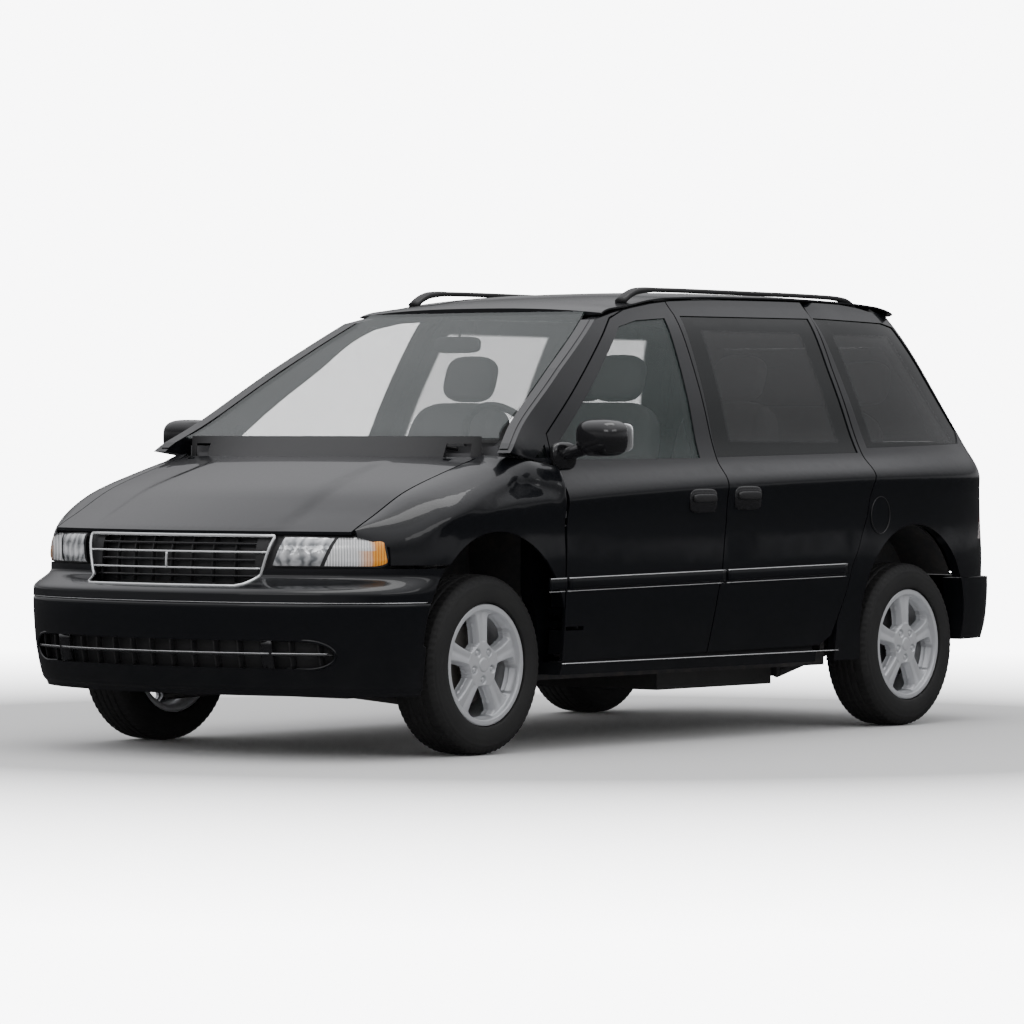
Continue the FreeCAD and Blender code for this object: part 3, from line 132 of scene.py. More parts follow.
# %% Studio lights
def area_light(name, place, target, size, size_y, watts):
    """A rectangular lamp at place, turned towards target."""
    data = bpy.data.lights.new(name, "AREA")
    data.shape = "RECTANGLE"
    data.size, data.size_y, data.energy = size, size_y, watts
    lamp = bpy.data.objects.new(name, data)
    lamp.location = place
    lamp.rotation_euler = (Vector(target) - Vector(place)).to_track_quat("-Z", "Y").to_euler()
    bpy.context.scene.collection.objects.link(lamp)


area_light("panel_above", (0.5, 1.0, 7.5), (0.0, 0.0, 0.0), 7.0, 3.0, 170)
area_light("panel_driver_side", (1.0, 9.0, 4.5), (0.0, 0.0, 0.7), 8.0, 1.6, 60)
area_light("panel_front", (9.5, 1.0, 4.0), (0.0, 0.0, 0.8), 5.0, 1.5, 50)

# %% World
seen_white, seen_strength = (0.93, 0.93, 0.94, 1.0), 9.0
soft_white = (0.95, 0.95, 0.96, 1.0)
cool_tint = 1.03
mirror_bands = ((0.0, 0.035), (0.04, 0.30), (0.10, 0.36), (0.16, 0.16), (0.30, 0.45), (0.55, 0.9),
                (0.85, 1.3))

world = bpy.data.worlds.new("studio_world")
bpy.context.scene.world = world
world.use_nodes = True
world_nodes = world.node_tree.nodes
world_nodes.clear()
(world_out, mirror_back, band_ramp, direction, sky_place, white_back, soft_back, ray_kind, mirror_mix,
 seen_mix) = [world_nodes.new("ShaderNode" + kind) for kind in
              ("OutputWorld", "Background", "ValToRGB", "SeparateXYZ", "TexCoord", "Background", "Background",
               "LightPath", "MixShader", "MixShader")]
stops = band_ramp.color_ramp.elements
for place, grey in mirror_bands:
    stop = stops.new(place) if place > 0 else stops[0]
    stop.position = place
    stop.color = (grey, grey, grey * cool_tint, 1.0)
white_back.inputs["Color"].default_value = seen_white
white_back.inputs["Strength"].default_value = seen_strength
soft_back.inputs["Color"].default_value = soft_white
for source, target in ((sky_place.outputs["Generated"], direction.inputs[0]),
                       (direction.outputs["Z"], band_ramp.inputs[0]),
                       (band_ramp.outputs[0], mirror_back.inputs["Color"]),
                       (ray_kind.outputs["Is Camera Ray"], seen_mix.inputs[0]),
                       (soft_back.outputs[0], seen_mix.inputs[1]),
                       (white_back.outputs[0], seen_mix.inputs[2]),
                       (ray_kind.outputs["Is Glossy Ray"], mirror_mix.inputs[0]),
                       (seen_mix.outputs[0], mirror_mix.inputs[1]),
                       (mirror_back.outputs[0], mirror_mix.inputs[2]),
                       (mirror_mix.outputs[0], world_out.inputs[0])):
    world.node_tree.links.new(source, target)
print("bands in the mirror world", len(stops))

# %% [markdown]
# ## Writing materials as sums
#
# A material is a small piece of arithmetic over the place on the surface. A socket is wrapped in a
# class that knows plus, minus, times and divide, so that a line of Python reads like the formula. Every
# node comes from one method, which sets its settings first and then its sockets.


# %% Shader arithmetic
class Wire:
    """One output socket of a material, with arithmetic that adds Math nodes."""

    def __init__(self, tree, socket=None):
        self.tree = tree
        self.socket = socket

    def node(self, kind, settings=None, output=0, **values):
        """Adds a node to the tree: settings are its own properties, values its sockets, by name or as i0."""
        node = self.tree.nodes.new(kind)
        for label, value in (settings or {}).items():
            setattr(node, label, value)
        for label, value in values.items():
            socket = node.inputs[int(label[1:])] if label[1:].isdigit() else node.inputs[label]
            if isinstance(value, Wire):
                self.tree.links.new(value.socket, socket)
            else:
                socket.default_value = value
        return Wire(self.tree, node.outputs[output])

    def math(self, operation, other=0.0):
        return self.node("ShaderNodeMath", {"operation": operation}, i0=self, i1=other)

    def __add__(self, other):
        return self.math("ADD", other)

    __radd__ = __add__

    def __mul__(self, other):
        return self.math("MULTIPLY", other)

    __rmul__ = __mul__

    def __sub__(self, other):
        return self.math("SUBTRACT", other)

    def __rsub__(self, other):
        return (self * -1.0) + other

    def __truediv__(self, other):
        return self.math("DIVIDE", other)

    def above(self, edge, soft):
        """0 below the edge and 1 above it, with a soft step of the given width."""
        return ((self - edge) / soft + 0.5).clamp()

    def wave(self):
        """0 to 1 and back, as the sine of the value."""
        return self.math("SINE") * 0.5 + 0.5

    def clamp(self):
        return self.node("ShaderNodeClamp", i0=self)


print("sums ready")


# %% Finish class
class Finish:
    """A material with one Principled shader, whose inputs take numbers or wires."""

    def __init__(self, name, colour, roughness=0.5, metallic=0.0, **constants):
        self.material = bpy.data.materials.new(name)
        self.material.use_nodes = True
        self.tree = self.material.node_tree
        self.shader = next(n for n in self.tree.nodes if n.type == "BSDF_PRINCIPLED")
        self.shader.inputs["Base Color"].default_value = (*colour, 1.0)
        self.shader.inputs["Roughness"].default_value = roughness
        self.shader.inputs["Metallic"].default_value = metallic
        for label, value in constants.items():
            self.shader.inputs[label.replace("_", " ")].default_value = value
        self.node = Wire(self.tree).node
        self.place = self.node("ShaderNodeTexCoord", output=3)

    def axis(self, letter):
        """One coordinate of the point on the piece, in metres."""
        return self.node("ShaderNodeSeparateXYZ", output="XYZ".index(letter), i0=self.place)

    def noise(self, scale, detail=3.0, roughness=0.5):
        """Soft patches between about 0.3 and 0.7, scale of them to the metre."""
        return self.node("ShaderNodeTexNoise", Vector=self.place, Scale=scale, Detail=detail,
                         Roughness=roughness)

    def blend(self, amount, low, high):
        """Colour from low to high as amount goes from 0 to 1."""
        low, high = (end if isinstance(end, Wire) else (*end, 1.0) for end in (low, high))
        return self.node("ShaderNodeMix", {"data_type": "RGBA"}, output=2, i0=amount, i6=low, i7=high)

    def feed(self, label, wire):
        """Links a wire to one input of the shader."""
        self.tree.links.new(wire.socket, self.shader.inputs[label])

    def bump(self, height, distance=0.001, strength=1.0):
        """Raises the surface by height times distance, in metres."""
        self.feed("Normal", self.node("ShaderNodeBump", Strength=strength, Distance=distance, Height=height))


print("finishes ready")

# %% [markdown]
# ## Studio finishes
#
# The floor is a matt off-white with a hint of unevenness. The haze gives off white light, and its cover
# grows with the distance from the vehicle: nothing under three metres away, everything at nine.

# %% Floor and haze
floor_white = Finish("floor_pale", (0.62, 0.62, 0.61), 0.75)
floor_white.feed("Base Color", floor_white.blend(floor_white.noise(0.6, 4.0), (0.78, 0.78, 0.78),
                                                 (0.82, 0.82, 0.82)))
floor.data.materials.append(floor_white.material)

haze_start, haze_slope = 3.1, 0.17
haze = Finish("haze_white", (0.0, 0.0, 0.0), 1.0, 0.0, Specular_IOR_Level=0.0,
              Emission_Strength=seen_strength, Emission_Color=seen_white)
haze_far = (haze.axis("X") * haze.axis("X") + haze.axis("Y") * haze.axis("Y")).math("SQRT")
haze.feed("Alpha", ((haze_far - haze_start) * haze_slope).clamp())
haze_plane.data.materials.append(haze.material)
print("haze from", haze_start, "to", round(haze_start + 1 / haze_slope, 1), "m")

# %% [markdown]
# ## Paint and plastics
#
# Black paint is not pure black: it has a base a little above zero, a clear coat on top, and a trace
# of dust low down on the sills where road spray dries. The clear coat makes the reflections, so it gets
# its own roughness. Moulded plastic is duller, and a fine grain raised by a bump breaks up its shine.

# %% Body paint
paint_black, road_dust = (0.004, 0.0045, 0.006), (0.11, 0.105, 0.10)
dust_top, dust_fade, dust_amount = 0.42, 0.30, 0.06
paint = Finish("body_paint", paint_black, 0.35, 0.0, Specular_IOR_Level=0.15, Coat_Weight=0.8,
               Coat_Roughness=0.03, Coat_IOR=1.45)
dust = (1.0 - paint.axis("Z").above(dust_top, dust_fade)) * (paint.noise(6.0, 5.0) * 1.2)
paint.feed("Base Color", paint.blend((dust * dust_amount).clamp(), paint_black, road_dust))
paint.feed("Roughness", paint.noise(90.0, 2.0) * 0.06 + 0.30)
print("paint ready")


# %% Plastics
def textured_plastic(name, colour, roughness, grain=900.0, depth=0.00015):
    """Moulded plastic: a fine grain raised by a bump, and broad patches a little darker or lighter."""
    finish = Finish(name, colour, roughness)
    fine = finish.noise(grain, 2.0, 0.6)
    broad = finish.noise(9.0, 3.0)
    darker, lighter = (tuple(part * change for part in colour) for change in (0.85, 1.2))
    finish.feed("Base Color", finish.blend(broad, darker, lighter))
    finish.feed("Roughness", broad * 0.12 + (roughness - 0.06))
    finish.bump(fine, depth, 0.6)
    return finish


black_trim = textured_plastic("black_trim", (0.016, 0.016, 0.017), 0.42)
gloss_black = Finish("gloss_black", (0.010, 0.010, 0.011), 0.12, 0.0, Coat_Weight=0.6, Coat_Roughness=0.04)
gloss_black.feed("Roughness", gloss_black.noise(40.0, 2.0) * 0.08 + 0.10)
dash_plastic = textured_plastic("dash_plastic", (0.10, 0.10, 0.105), 0.55, 600.0, 0.0003)
tank_plastic = textured_plastic("tank_plastic", (0.03, 0.03, 0.03), 0.6)
print("plastics ready")

# %% [markdown]
# ## Metals
#
# Steel and castings under the body are dull and stained in patches. The wheels are painted silver, so
# they are only half as metallic as bare metal and keep a pale colour in any light. Bright trim is plated
# and almost a mirror. Paint over rust could be two shaders mixed by a mask. From a step away one shader
# whose colour and roughness vary looks the same, and it is simpler to bake.


# %% Metals
def worn_metal(name, colour, roughness, metallic, stain, scale=14.0):
    """Bare or thinly painted metal: where broad noise is high, the colour goes half way to the stain."""
    finish = Finish(name, colour, roughness, metallic)
    patches = (finish.noise(scale, 6.0, 0.65) - 0.45) * 3.0
    finish.feed("Base Color", finish.blend((patches * 0.5).clamp(), colour, stain))
    finish.feed("Roughness", (finish.noise(scale * 5, 3.0) * 0.25 + (roughness - 0.12)).clamp())
    finish.bump(finish.noise(scale * 20, 3.0), 0.0002, 0.5)
    return finish


under_steel = worn_metal("under_steel", (0.045, 0.045, 0.048), 0.55, 0.3, (0.10, 0.085, 0.07))
cast_metal = worn_metal("cast_metal", (0.20, 0.19, 0.18), 0.5, 0.8, (0.11, 0.08, 0.06), 22.0)
muffler_metal = worn_metal("muffler_metal", (0.38, 0.36, 0.33), 0.38, 0.9, (0.20, 0.15, 0.11), 10.0)
wheel_silver = Finish("wheel_silver", (0.55, 0.56, 0.58), 0.38, 0.45, Coat_Weight=0.3, Coat_Roughness=0.12)
wheel_silver.feed("Roughness", wheel_silver.noise(60.0, 3.0) * 0.06 + 0.35)
wheel_silver.feed("Base Color", wheel_silver.blend(wheel_silver.noise(25.0, 4.0), (0.50, 0.51, 0.53),
                                                   (0.57, 0.58, 0.60)))
chrome = Finish("chrome", (0.88, 0.89, 0.90), 0.07, 0.70)
chrome.feed("Roughness", chrome.noise(50.0, 2.0) * 0.05 + 0.05)
print("metals ready")

# %% [markdown]
# ## Glass
#
# Vehicle glass is a tinted sheet with a hard shine. It is made see-through with Alpha, because a thin pane
# bends no light. The panes behind the front doors are darker, and their edges carry a blackened border
# that hides the glue: inside a slanted four-sided window the pane lets light through, outside it doesn't.


# %% Panes
def pane_glass(name, colour, alpha, roughness=0.02):
    """A tinted sheet that hides alpha of what is behind it."""
    finish = Finish(name, colour, roughness, 0.0, Specular_IOR_Level=0.3, Coat_Weight=1.0,
                    Coat_Roughness=0.01)
    finish.feed("Alpha", finish.noise(1.5, 1.0) * 0.04 + (alpha - 0.02))
    finish.feed("Roughness", finish.noise(12.0, 3.0) * 0.03 + roughness)
    return finish


clear_glass = pane_glass("clear_glass", (0.025, 0.040, 0.037), 0.40)
dark_glass = pane_glass("dark_glass", (0.002, 0.003, 0.003), 0.80)
lamp_clear = pane_glass("lamp_clear", (0.75, 0.78, 0.80), 0.25, 0.03)
print("panes ready")

# %% Blackened borders
border_foot, border_head, border_soft, side_soft = 1.21, 1.665, 0.012, 0.02
pane_x, pane_z = dark_glass.axis("X"), dark_glass.axis("Z")
door_pane = (1.0 - (pane_x + pane_z * 0.153).above(-0.046, side_soft)) * pane_x.above(-1.0, side_soft)
rear_pane = (1.0 - pane_x.above(-1.25, side_soft)) * (pane_x - pane_z * 0.45).above(-2.44, side_soft)
between = pane_z.above(border_foot, border_soft)
see_through = ((door_pane + rear_pane) * between * (1.0 - pane_z.above(border_head, border_soft))).clamp()
dark_glass.feed("Alpha", see_through * -0.42 + 0.98)
dark_glass.feed("Coat Weight", see_through * 0.85 + 0.1)
print("borders from", border_foot, "to", border_head, "m")

# %% [markdown]
# ## Rear lamps, tyres and cloth
#
# A rear lamp is red plastic with moulded flutes, and clear at its foot. Tyre rubber is nearly black and a
# little uneven. Seat cloth is a grey weave: two sine waves that cross make its ribs. A picture of cloth could
# be wrapped round the seat, but a pattern on the piece's own coordinates has no seams.

# %% Rear lamp, rubber and cloth
clear_foot = 0.865
lamp_red = Finish("lamp_red", (0.30, 0.008, 0.010), 0.12, 0.0, Coat_Weight=1.0, Coat_Roughness=0.03)
red_flutes = lamp_red.blend((lamp_red.axis("Z") * 180.0).wave(), (0.24, 0.006, 0.008), (0.42, 0.014, 0.016))
lamp_red.feed("Base Color", lamp_red.blend(lamp_red.axis("Z").above(clear_foot, 0.006), (0.55, 0.50, 0.50),
                                           red_flutes))

rubber = Finish("tyre_rubber", (0.022, 0.022, 0.023), 0.72)
rubber.feed("Base Color", rubber.blend(rubber.noise(7.0, 5.0), (0.008, 0.008, 0.009), (0.018, 0.018, 0.017)))
rubber.bump(rubber.noise(260.0, 3.0), 0.0004, 0.6)

weave_pitch = 2600.0
seat_cloth = Finish("seat_cloth", (0.22, 0.22, 0.225), 0.9, 0.0, Sheen_Weight=0.3)
weave = (seat_cloth.axis("X") * weave_pitch).math("SINE") * (seat_cloth.axis("Z") * weave_pitch).math("SINE")
seat_cloth.feed("Base Color", seat_cloth.blend(seat_cloth.noise(400.0, 3.0), (0.17, 0.17, 0.175),
                                               (0.27, 0.27, 0.275)))
seat_cloth.bump(weave * 0.5 + seat_cloth.noise(900.0, 2.0), 0.0003, 0.7)
print("rear lamp, rubber and cloth ready")

# %% [markdown]
# ## Giving the construction nodes their finish
#
# The construction's meshes come from exact solids, so they could not be made better by hand. A node whose
# shape is right keeps its mesh, and only its material changes.

# %% Finish of each node
finish_of = {
    "paint": paint, "dark_trim": black_trim, "glass": clear_glass, "dark_glass": dark_glass,
    "lamp_clear": lamp_clear, "lamp_red": lamp_red, "grille_plastic": gloss_black, "seat_cloth": seat_cloth,
    "dash_plastic": dash_plastic, "bare_steel": under_steel, "cast": cast_metal, "tyre": rubber,
    "rim": wheel_silver, "tank_plastic": tank_plastic, "muffler_steel": muffler_metal,
}
slot_of = {piece["node"]: piece["material_slot"] for piece in frame["record"]["subparts"]}
for name, node in nodes.items():
    node.data.materials.clear()
    node.data.materials.append(finish_of[slot_of[name]].material)
print("finished", len(nodes), "nodes")

# %% [markdown]
# ## Measures of the body
#
# Trim has to lie on the panels. The panels of this body follow a few tables of heights and widths, so the
# same tables, read with a smooth curve between their entries, tell every strip and lamp where the skin is.

# %% Tables of the body
wheelbase, half_width, roof_height, front_axle, rear_axle = 2.878, 0.972, 1.826, 1.405, -1.473
side_foot = 0.297


def smooth_table(pairs):
    """Monotone cubic curve through (place, value) pairs, for whole arrays: each span is a Hermite cubic."""
    places, values = (np.array(column, float) for column in zip(*pairs))
    steps = np.diff(places)
    slopes = np.diff(values) / steps
    before, after, left, right = slopes[:-1], slopes[1:], steps[:-1], steps[1:]
    same = before * after > 0
    low, high = np.where(same, before, 1.0), np.where(same, after, 1.0)
    middle = np.where(same, 3 * (left + right) / ((2 * right + left) / low + (right + 2 * left) / high), 0.0)
    tangents = np.concatenate([slopes[:1], middle, slopes[-1:]])

    def at(place):
        place = np.clip(place, places[0], places[-1])
        span = np.clip(np.searchsorted(places, place) - 1, 0, len(steps) - 1)
        t = (place - places[span]) / steps[span]
        return ((2 * t ** 3 - 3 * t ** 2 + 1) * values[span]
                + (t ** 3 - 2 * t ** 2 + t) * steps[span] * tangents[span]
                + (3 * t ** 2 - 2 * t ** 3) * values[span + 1]
                + (t ** 3 - t ** 2) * steps[span] * tangents[span + 1])
    return at


lower_side = smooth_table([(0.12, 0.955), (0.161, 0.966), (0.245, 0.982), (0.337, 0.9915), (0.40, 0.9938),
                           (0.47, 0.9885), (0.54, 0.998), (0.56, 1.0)])
face_nose = smooth_table([(0.30, -0.287), (0.36, -0.2893), (0.41, -0.2885), (0.44, -0.286),
                          (0.4693, -0.2773), (0.5, -0.26)])
bumper_nose = smooth_table([(0.13, -0.303), (0.17, -0.316), (0.25, -0.3262), (0.31, -0.3283),
                            (0.345, -0.3275)])


def side_at(z):
    """Half width of the lower body side at a height: a share of the full half width, from a table."""
    return half_width * lower_side(np.maximum(z, side_foot) / roof_height)


print("half width at the sill", round(float(side_at(np.array(0.35))), 4))

# %% Plan of the nose
nose_start, nose_power, nose_bow = 0.03, 7, 1.75


def front_plan(turn, z, nose, sink=0.0):
    """Plan of the nose at a height: a squared quarter ellipse from the side to the middle, less the bow.

    turn runs from -1 (right side) over 0 (middle) to 1 (left side); sink moves the skin inwards."""
    start = front_axle + nose_start * wheelbase
    width = side_at(z) - sink
    tip = front_axle - nose(z / roof_height) * wheelbase - sink
    part = np.clip(1 - np.abs(turn), 0.0, 1.0)
    half = 0.5 ** (1 / nose_power)
    rest = lambda share: (1 - (half * share * 2).clip(0, 1) ** nose_power) ** (1 / nose_power)
    near = part <= 0.5
    x = start + (tip - start) * np.where(near, half * part * 2, rest(1 - part))
    y = width * np.where(near, rest(part), half * (1 - part) * 2)
    bow_radius = nose_bow * half_width
    bow = bow_radius - np.sqrt(bow_radius ** 2 - y ** 2)
    return x - bow * (x - start) / (tip - start), y * np.sign(turn)


print("tip of the bumper", float(front_plan(np.array(0.001), 0.57, bumper_nose)[0]))

# %% [markdown]
# ## From arrays to meshes
#
# Every new piece is a grid of points. Its quads follow from the grid's shape, and a mask can leave some out,
# which is how an opening is cut. A closed grid joins its last row to its first. What comes in pairs is made
# once, for the left side, and mirrored.


# %% Grid to mesh
def add_piece(name, mesh, body, replaces=()):
    """Gives a mesh to a body of the frame, in place of the nodes that it replaces."""
    piece = bpy.data.objects.new(name, mesh)
    bpy.context.scene.collection.objects.link(piece)
    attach(piece, body)
    if replaces:
        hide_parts(*replaces)
    return piece


def grid_piece(name, points, finish, body, slot, wrap_rows=False, wrap_columns=False, keep=None, flip=False,
               replaces=()):
    """A mesh from a (rows, columns, 3) array: one quad between each four neighbours that keep allows."""
    rows, columns = points.shape[:2]
    number = np.arange(rows * columns).reshape(rows, columns)
    if wrap_rows:
        number = np.concatenate([number, number[:1]])
    if wrap_columns:
        number = np.concatenate([number, number[:, :1]], axis=1)
    quads = np.stack([number[:-1, :-1], number[1:, :-1], number[1:, 1:], number[:-1, 1:]], axis=-1)
    quads = quads[:, :, ::-1] if flip else quads
    quads = quads[keep] if keep is not None else quads.reshape(-1, 4)
    mesh = bpy.data.meshes.new(name)
    mesh.from_pydata(points.reshape(-1, 3).tolist(), [], quads.tolist())
    mesh.polygons.foreach_set("use_smooth", np.full(len(mesh.polygons), True))
    mesh.update()
    mesh.materials.append(finish.material)
    return add_piece(name, mesh, body, replaces)


def both_sides(name, grid, finish, body, slot, flip=False, replaces=(), **more):
    """A left piece and its mirror image, y turned to -y. SIDE in a name stands for left or right."""
    mirrored = grid * np.array([1.0, -1.0, 1.0])
    for word, points, turned in (("left", grid, flip), ("right", mirrored, not flip)):
        own = [node.replace("SIDE", word) for node in replaces if word == "left" or "SIDE" in node]
        grid_piece(name.replace("SIDE", word), points, finish, body.replace("SIDE", word), slot, flip=turned,
                   replaces=own, **more)


print("mesh helpers ready")


# %% Bars and soft blocks
def swept(path, section, up=(0.0, 0.0, 1.0), closed=False):
    """Grid of a section carried along a path: each point is path + aside * out + above * across both."""
    ahead = np.gradient(path, axis=0)
    if closed:
        ahead = np.roll(path, -1, axis=0) - np.roll(path, 1, axis=0)
    ahead = ahead / np.linalg.norm(ahead, axis=1, keepdims=True)
    out = np.cross(ahead, np.broadcast_to(np.array(up, float), ahead.shape))
    out = out / np.linalg.norm(out, axis=1, keepdims=True)
    above = np.cross(out, ahead)
    return (path[:, None, :] + out[:, None, :] * section[..., 0, None]
            + above[:, None, :] * section[..., 1, None])


def oval(width, height, count=16, square=2.0):
    """Closed section: cosine and sine, each to the power 2 / square: 2 is round, and more is squarer."""
    angle = np.linspace(0, 2 * np.pi, count, endpoint=False)
    c, s = np.cos(angle), np.sin(angle)
    return np.stack([width / 2 * np.sign(c) * np.abs(c) ** (2 / square),
                     height / 2 * np.sign(s) * np.abs(s) ** (2 / square)], axis=-1)[None]


def bar(path, section, up=(0.0, 0.0, 1.0)):
    """A swept grid with both ends closed, by one more ring that is drawn in to its middle."""
    grid = swept(path, section, up)
    first = np.repeat(grid[:1].mean(axis=1, keepdims=True), grid.shape[1], axis=1)
    last = np.repeat(grid[-1:].mean(axis=1, keepdims=True), grid.shape[1], axis=1)
    return np.concatenate([first, grid, last])


def bar_piece(name, path, section, finish, slot, body="body", up=(0.0, 0.0, 1.0)):
    """A closed bar along a path."""
    grid_piece(name, bar(path, section, up), finish, body, slot, wrap_columns=True)


def rounded_block(centre, size, square=4.0, rows=24, columns=36):
    """Soft-edged block: a superellipsoid, the products of powered sines and cosines of two angles."""
    a = np.linspace(-np.pi / 2, np.pi / 2, rows)[:, None]
    b = np.linspace(0, -2 * np.pi, columns, endpoint=False)[None, :]
    power = lambda value: np.sign(value) * np.abs(value) ** (2 / square)
    x = power(np.cos(a)) * power(np.cos(b))
    y = power(np.cos(a)) * power(np.sin(b))
    z = power(np.sin(a)) * np.ones_like(b)
    return np.array(centre) + np.stack([x, y, z], axis=-1) * np.array(size) / 2


print("bars and blocks ready")

# %% [markdown]
# ## Tyres
#
# The tyre is one profile carried round the axle. Its radius drops in the four grooves of the tread and in
# narrow cuts across it, 72 to a turn, and its sidewall swells out in four rings. The profile is drawn as
# points, because a real tyre's section has no simple formula, and the rest is sums on top of it.

# %% Places of the wheels
wheel_places = {"front_left": (front_axle, 0.800, 1), "front_right": (front_axle, -0.800, -1),
                "rear_left": (rear_axle, 0.813, 1), "rear_right": (rear_axle, -0.813, -1)}
tyre_radius, tread_edge, cuts_per_turn = 0.348, 0.079, 72
tread_half, crown_radius, crown_drop, groove_half = 0.078, 0.3478, 0.0038, 0.0032
groove_depth, outer_cut_depth, inner_cut_depth, rib_depth, ring_swell = 0.007, 0.0035, 0.001, 0.0025, 0.0012


def about_axle(radius, offset, angle, place):
    """Points at a radius, an offset outwards along the axle and an angle round it."""
    x, y, side = place
    return np.stack([x + radius * np.sin(angle), y + side * offset, tyre_radius + radius * np.cos(angle)],
                    axis=-1)


def finer(points, pieces):
    """A line of points with every step cut in so many equal pieces, without the last point."""
    return [np.linspace(a, b, count, endpoint=False) for a, b, count in zip(points[:-1], points[1:], pieces)]


print("tyre radius", tyre_radius)


# %% Tyre
def tyre_grid(place):
    """Radius of the profile, less grooves and cuts; offset of the profile, more where a ring swells."""
    angle = np.linspace(0, 2 * np.pi, 288, endpoint=False)[None, :]
    wall = np.array([(0.2385, -0.094), (0.2385, -0.106), (0.262, -0.111), (0.288, -0.111), (0.312, -0.107),
                     (0.327, -0.100), (0.336, -0.092), (0.343, -0.083)])
    tread_offset = np.linspace(-tread_half, tread_half, 53)
    crown = crown_radius - crown_drop * (np.abs(tread_offset) / tread_half) ** 3
    tread = np.stack([crown, tread_offset], axis=-1)
    seat = np.array([[0.2235, 0.088], [0.2225, 0.0], [0.2235, -0.088]])
    profile = np.concatenate([wall, tread, wall[::-1] * np.array([1, -1]), seat])
    wall_end = len(wall) + len(tread)
    dense = np.concatenate(finer(profile[:8], [4 if abs(a[1] - b[1]) < 0.02 else 3
                                               for a, b in zip(profile[:7], profile[1:8])])
                           + [profile[8:wall_end]]
                           + finer(profile[wall_end:wall_end + 8], [4] * 7)
                           + [profile[wall_end + 7:]])
    radius, offset = dense[:, :1], dense[:, 1:]
    on_tread = (np.abs(offset) < tread_edge) & (radius > 0.33)
    shoulder = (np.abs(offset) >= tread_edge) & (radius > 0.322)
    groove = sum(np.exp(-((offset - middle) / groove_half) ** 6) for middle in (-0.045, -0.015, 0.015, 0.045))
    zigzag = 0.5 + 0.5 * np.sign(np.sin(angle * cuts_per_turn + np.sign(offset) * 1.5 + offset * 60))
    straight = 0.5 + 0.5 * np.sign(np.sin(angle * cuts_per_turn + np.sign(offset) * 1.5))
    cuts = np.where(np.abs(offset) > 0.05, zigzag * outer_cut_depth, zigzag * inner_cut_depth)
    ribs = np.where(shoulder, straight * rib_depth, 0.0)
    radius = radius - np.where(on_tread, groove * groove_depth + cuts, 0.0) - ribs
    ring = sum(np.exp(-((radius - middle) / 0.0016) ** 2) for middle in (0.250, 0.272, 0.297, 0.3125))
    on_wall = (np.abs(offset) > 0.08) & (radius < 0.32)
    swell = np.sign(offset) * ring * ring_swell - np.sign(offset) * ring_swell
    offset = offset + np.where(on_wall, swell, 0.0)
    return about_axle(radius, offset * np.ones_like(angle), angle, place)


for name, place in wheel_places.items():
    grid_piece("tread_tyre_" + name, tyre_grid(place), rubber, "wheel_" + name, "tyre", wrap_rows=True,
               wrap_columns=True, flip=place[2] > 0, replaces=("tyre_" + name,))
print("tyres", len(wheel_places))

# %% [markdown]
# ## Cast wheels
#
# A cast wheel has five spokes that widen towards the rim, a hub with five sunken nuts and a small cap, and
# a bright lip. It is a height field over the disc: flat where a spoke is, falling away at the spoke's edge,
# with the windows left out. The same face, moved inwards, is its back, and a turned profile is the barrel.
# Spokes could be modelled one by one and joined to the hub. One field keeps the five alike, with no seams.

# %% Wheel face
fifth = 2 * np.pi / 5
lip_start, lip_low, lip_high, back_depth = 0.2065, 0.0745, 0.099, 0.022
hub_radius, face_offset, spoke_half, spoke_growth = 0.088, 0.088, 0.031, 0.016
bolt_circle, pocket_radius, nut_radius, cap_radius = 0.057, 0.0145, 0.0095, 0.0265


def soft_disc(distance, radius, soft):
    """1 inside a radius and 0 outside it, by a logistic step."""
    return 1 / (1 + np.exp((distance - radius) / soft))


def wheel_grid(place):
    """Offset of the wheel's face at radius r and angle a, and the quads that aren't in a window."""
    angle = np.linspace(0, 2 * np.pi, 400, endpoint=False)[None, :]
    radius = np.concatenate([np.linspace(0.0005, 0.024, 5), np.linspace(0.027, 0.085, 22),
                             np.linspace(0.088, 0.205, 34), np.linspace(lip_start, 0.2345, 12)])[:, None]
    turn = (angle + fifth / 2) % fifth - fifth / 2
    across = np.abs(np.sin(turn)) * radius
    grow = np.clip((radius - 0.075) / 0.13, 0, 1)
    half = spoke_half + spoke_growth * grow ** 2.2 + 0.05 * np.clip((radius - 0.190) / 0.02, 0, 1) ** 2
    hub = np.clip((hub_radius - radius) / 0.014, 0, 1)
    edge = half + 0.05 * hub ** 1.5 - across
    bevel = np.clip(edge / 0.009, 0, 1)
    crease = 0.0035 * np.exp(-(across / 0.012) ** 2) * (radius > 0.09)
    top = face_offset - 0.010 * np.clip(radius / 0.2, 0, 1) ** 2 - crease
    offset = top - 0.026 * (1 - bevel) ** 1.5
    bolt_turn = angle % fifth - fifth / 2
    from_bolt = np.sqrt((radius * np.cos(bolt_turn) - bolt_circle) ** 2 + (radius * np.sin(bolt_turn)) ** 2)
    pocket, nut = soft_disc(from_bolt, pocket_radius, 0.0009), soft_disc(from_bolt, nut_radius, 0.0007)
    offset = offset - 0.014 * pocket + 0.012 * nut
    cap = soft_disc(radius, cap_radius, 0.0007)
    offset = offset + 0.0035 * cap - 0.0025 * np.exp(-((radius - 0.029) / 0.0012) ** 2)
    lip = np.clip((radius - lip_start) / 0.006, 0, 1)
    offset = np.where(radius > lip_start, lip_low + (lip_high - lip_low) * lip, offset)
    offset = offset - 0.004 * np.clip((radius - 0.231) / 0.0035, 0, 1)
    window = (edge < 0) & (radius > 0.08) & (radius < lip_start)
    keep = ~(window[:-1] & window[1:] & np.roll(window[:-1], -1, axis=1) & np.roll(window[1:], -1, axis=1))
    return about_axle(radius, offset, angle, place), keep


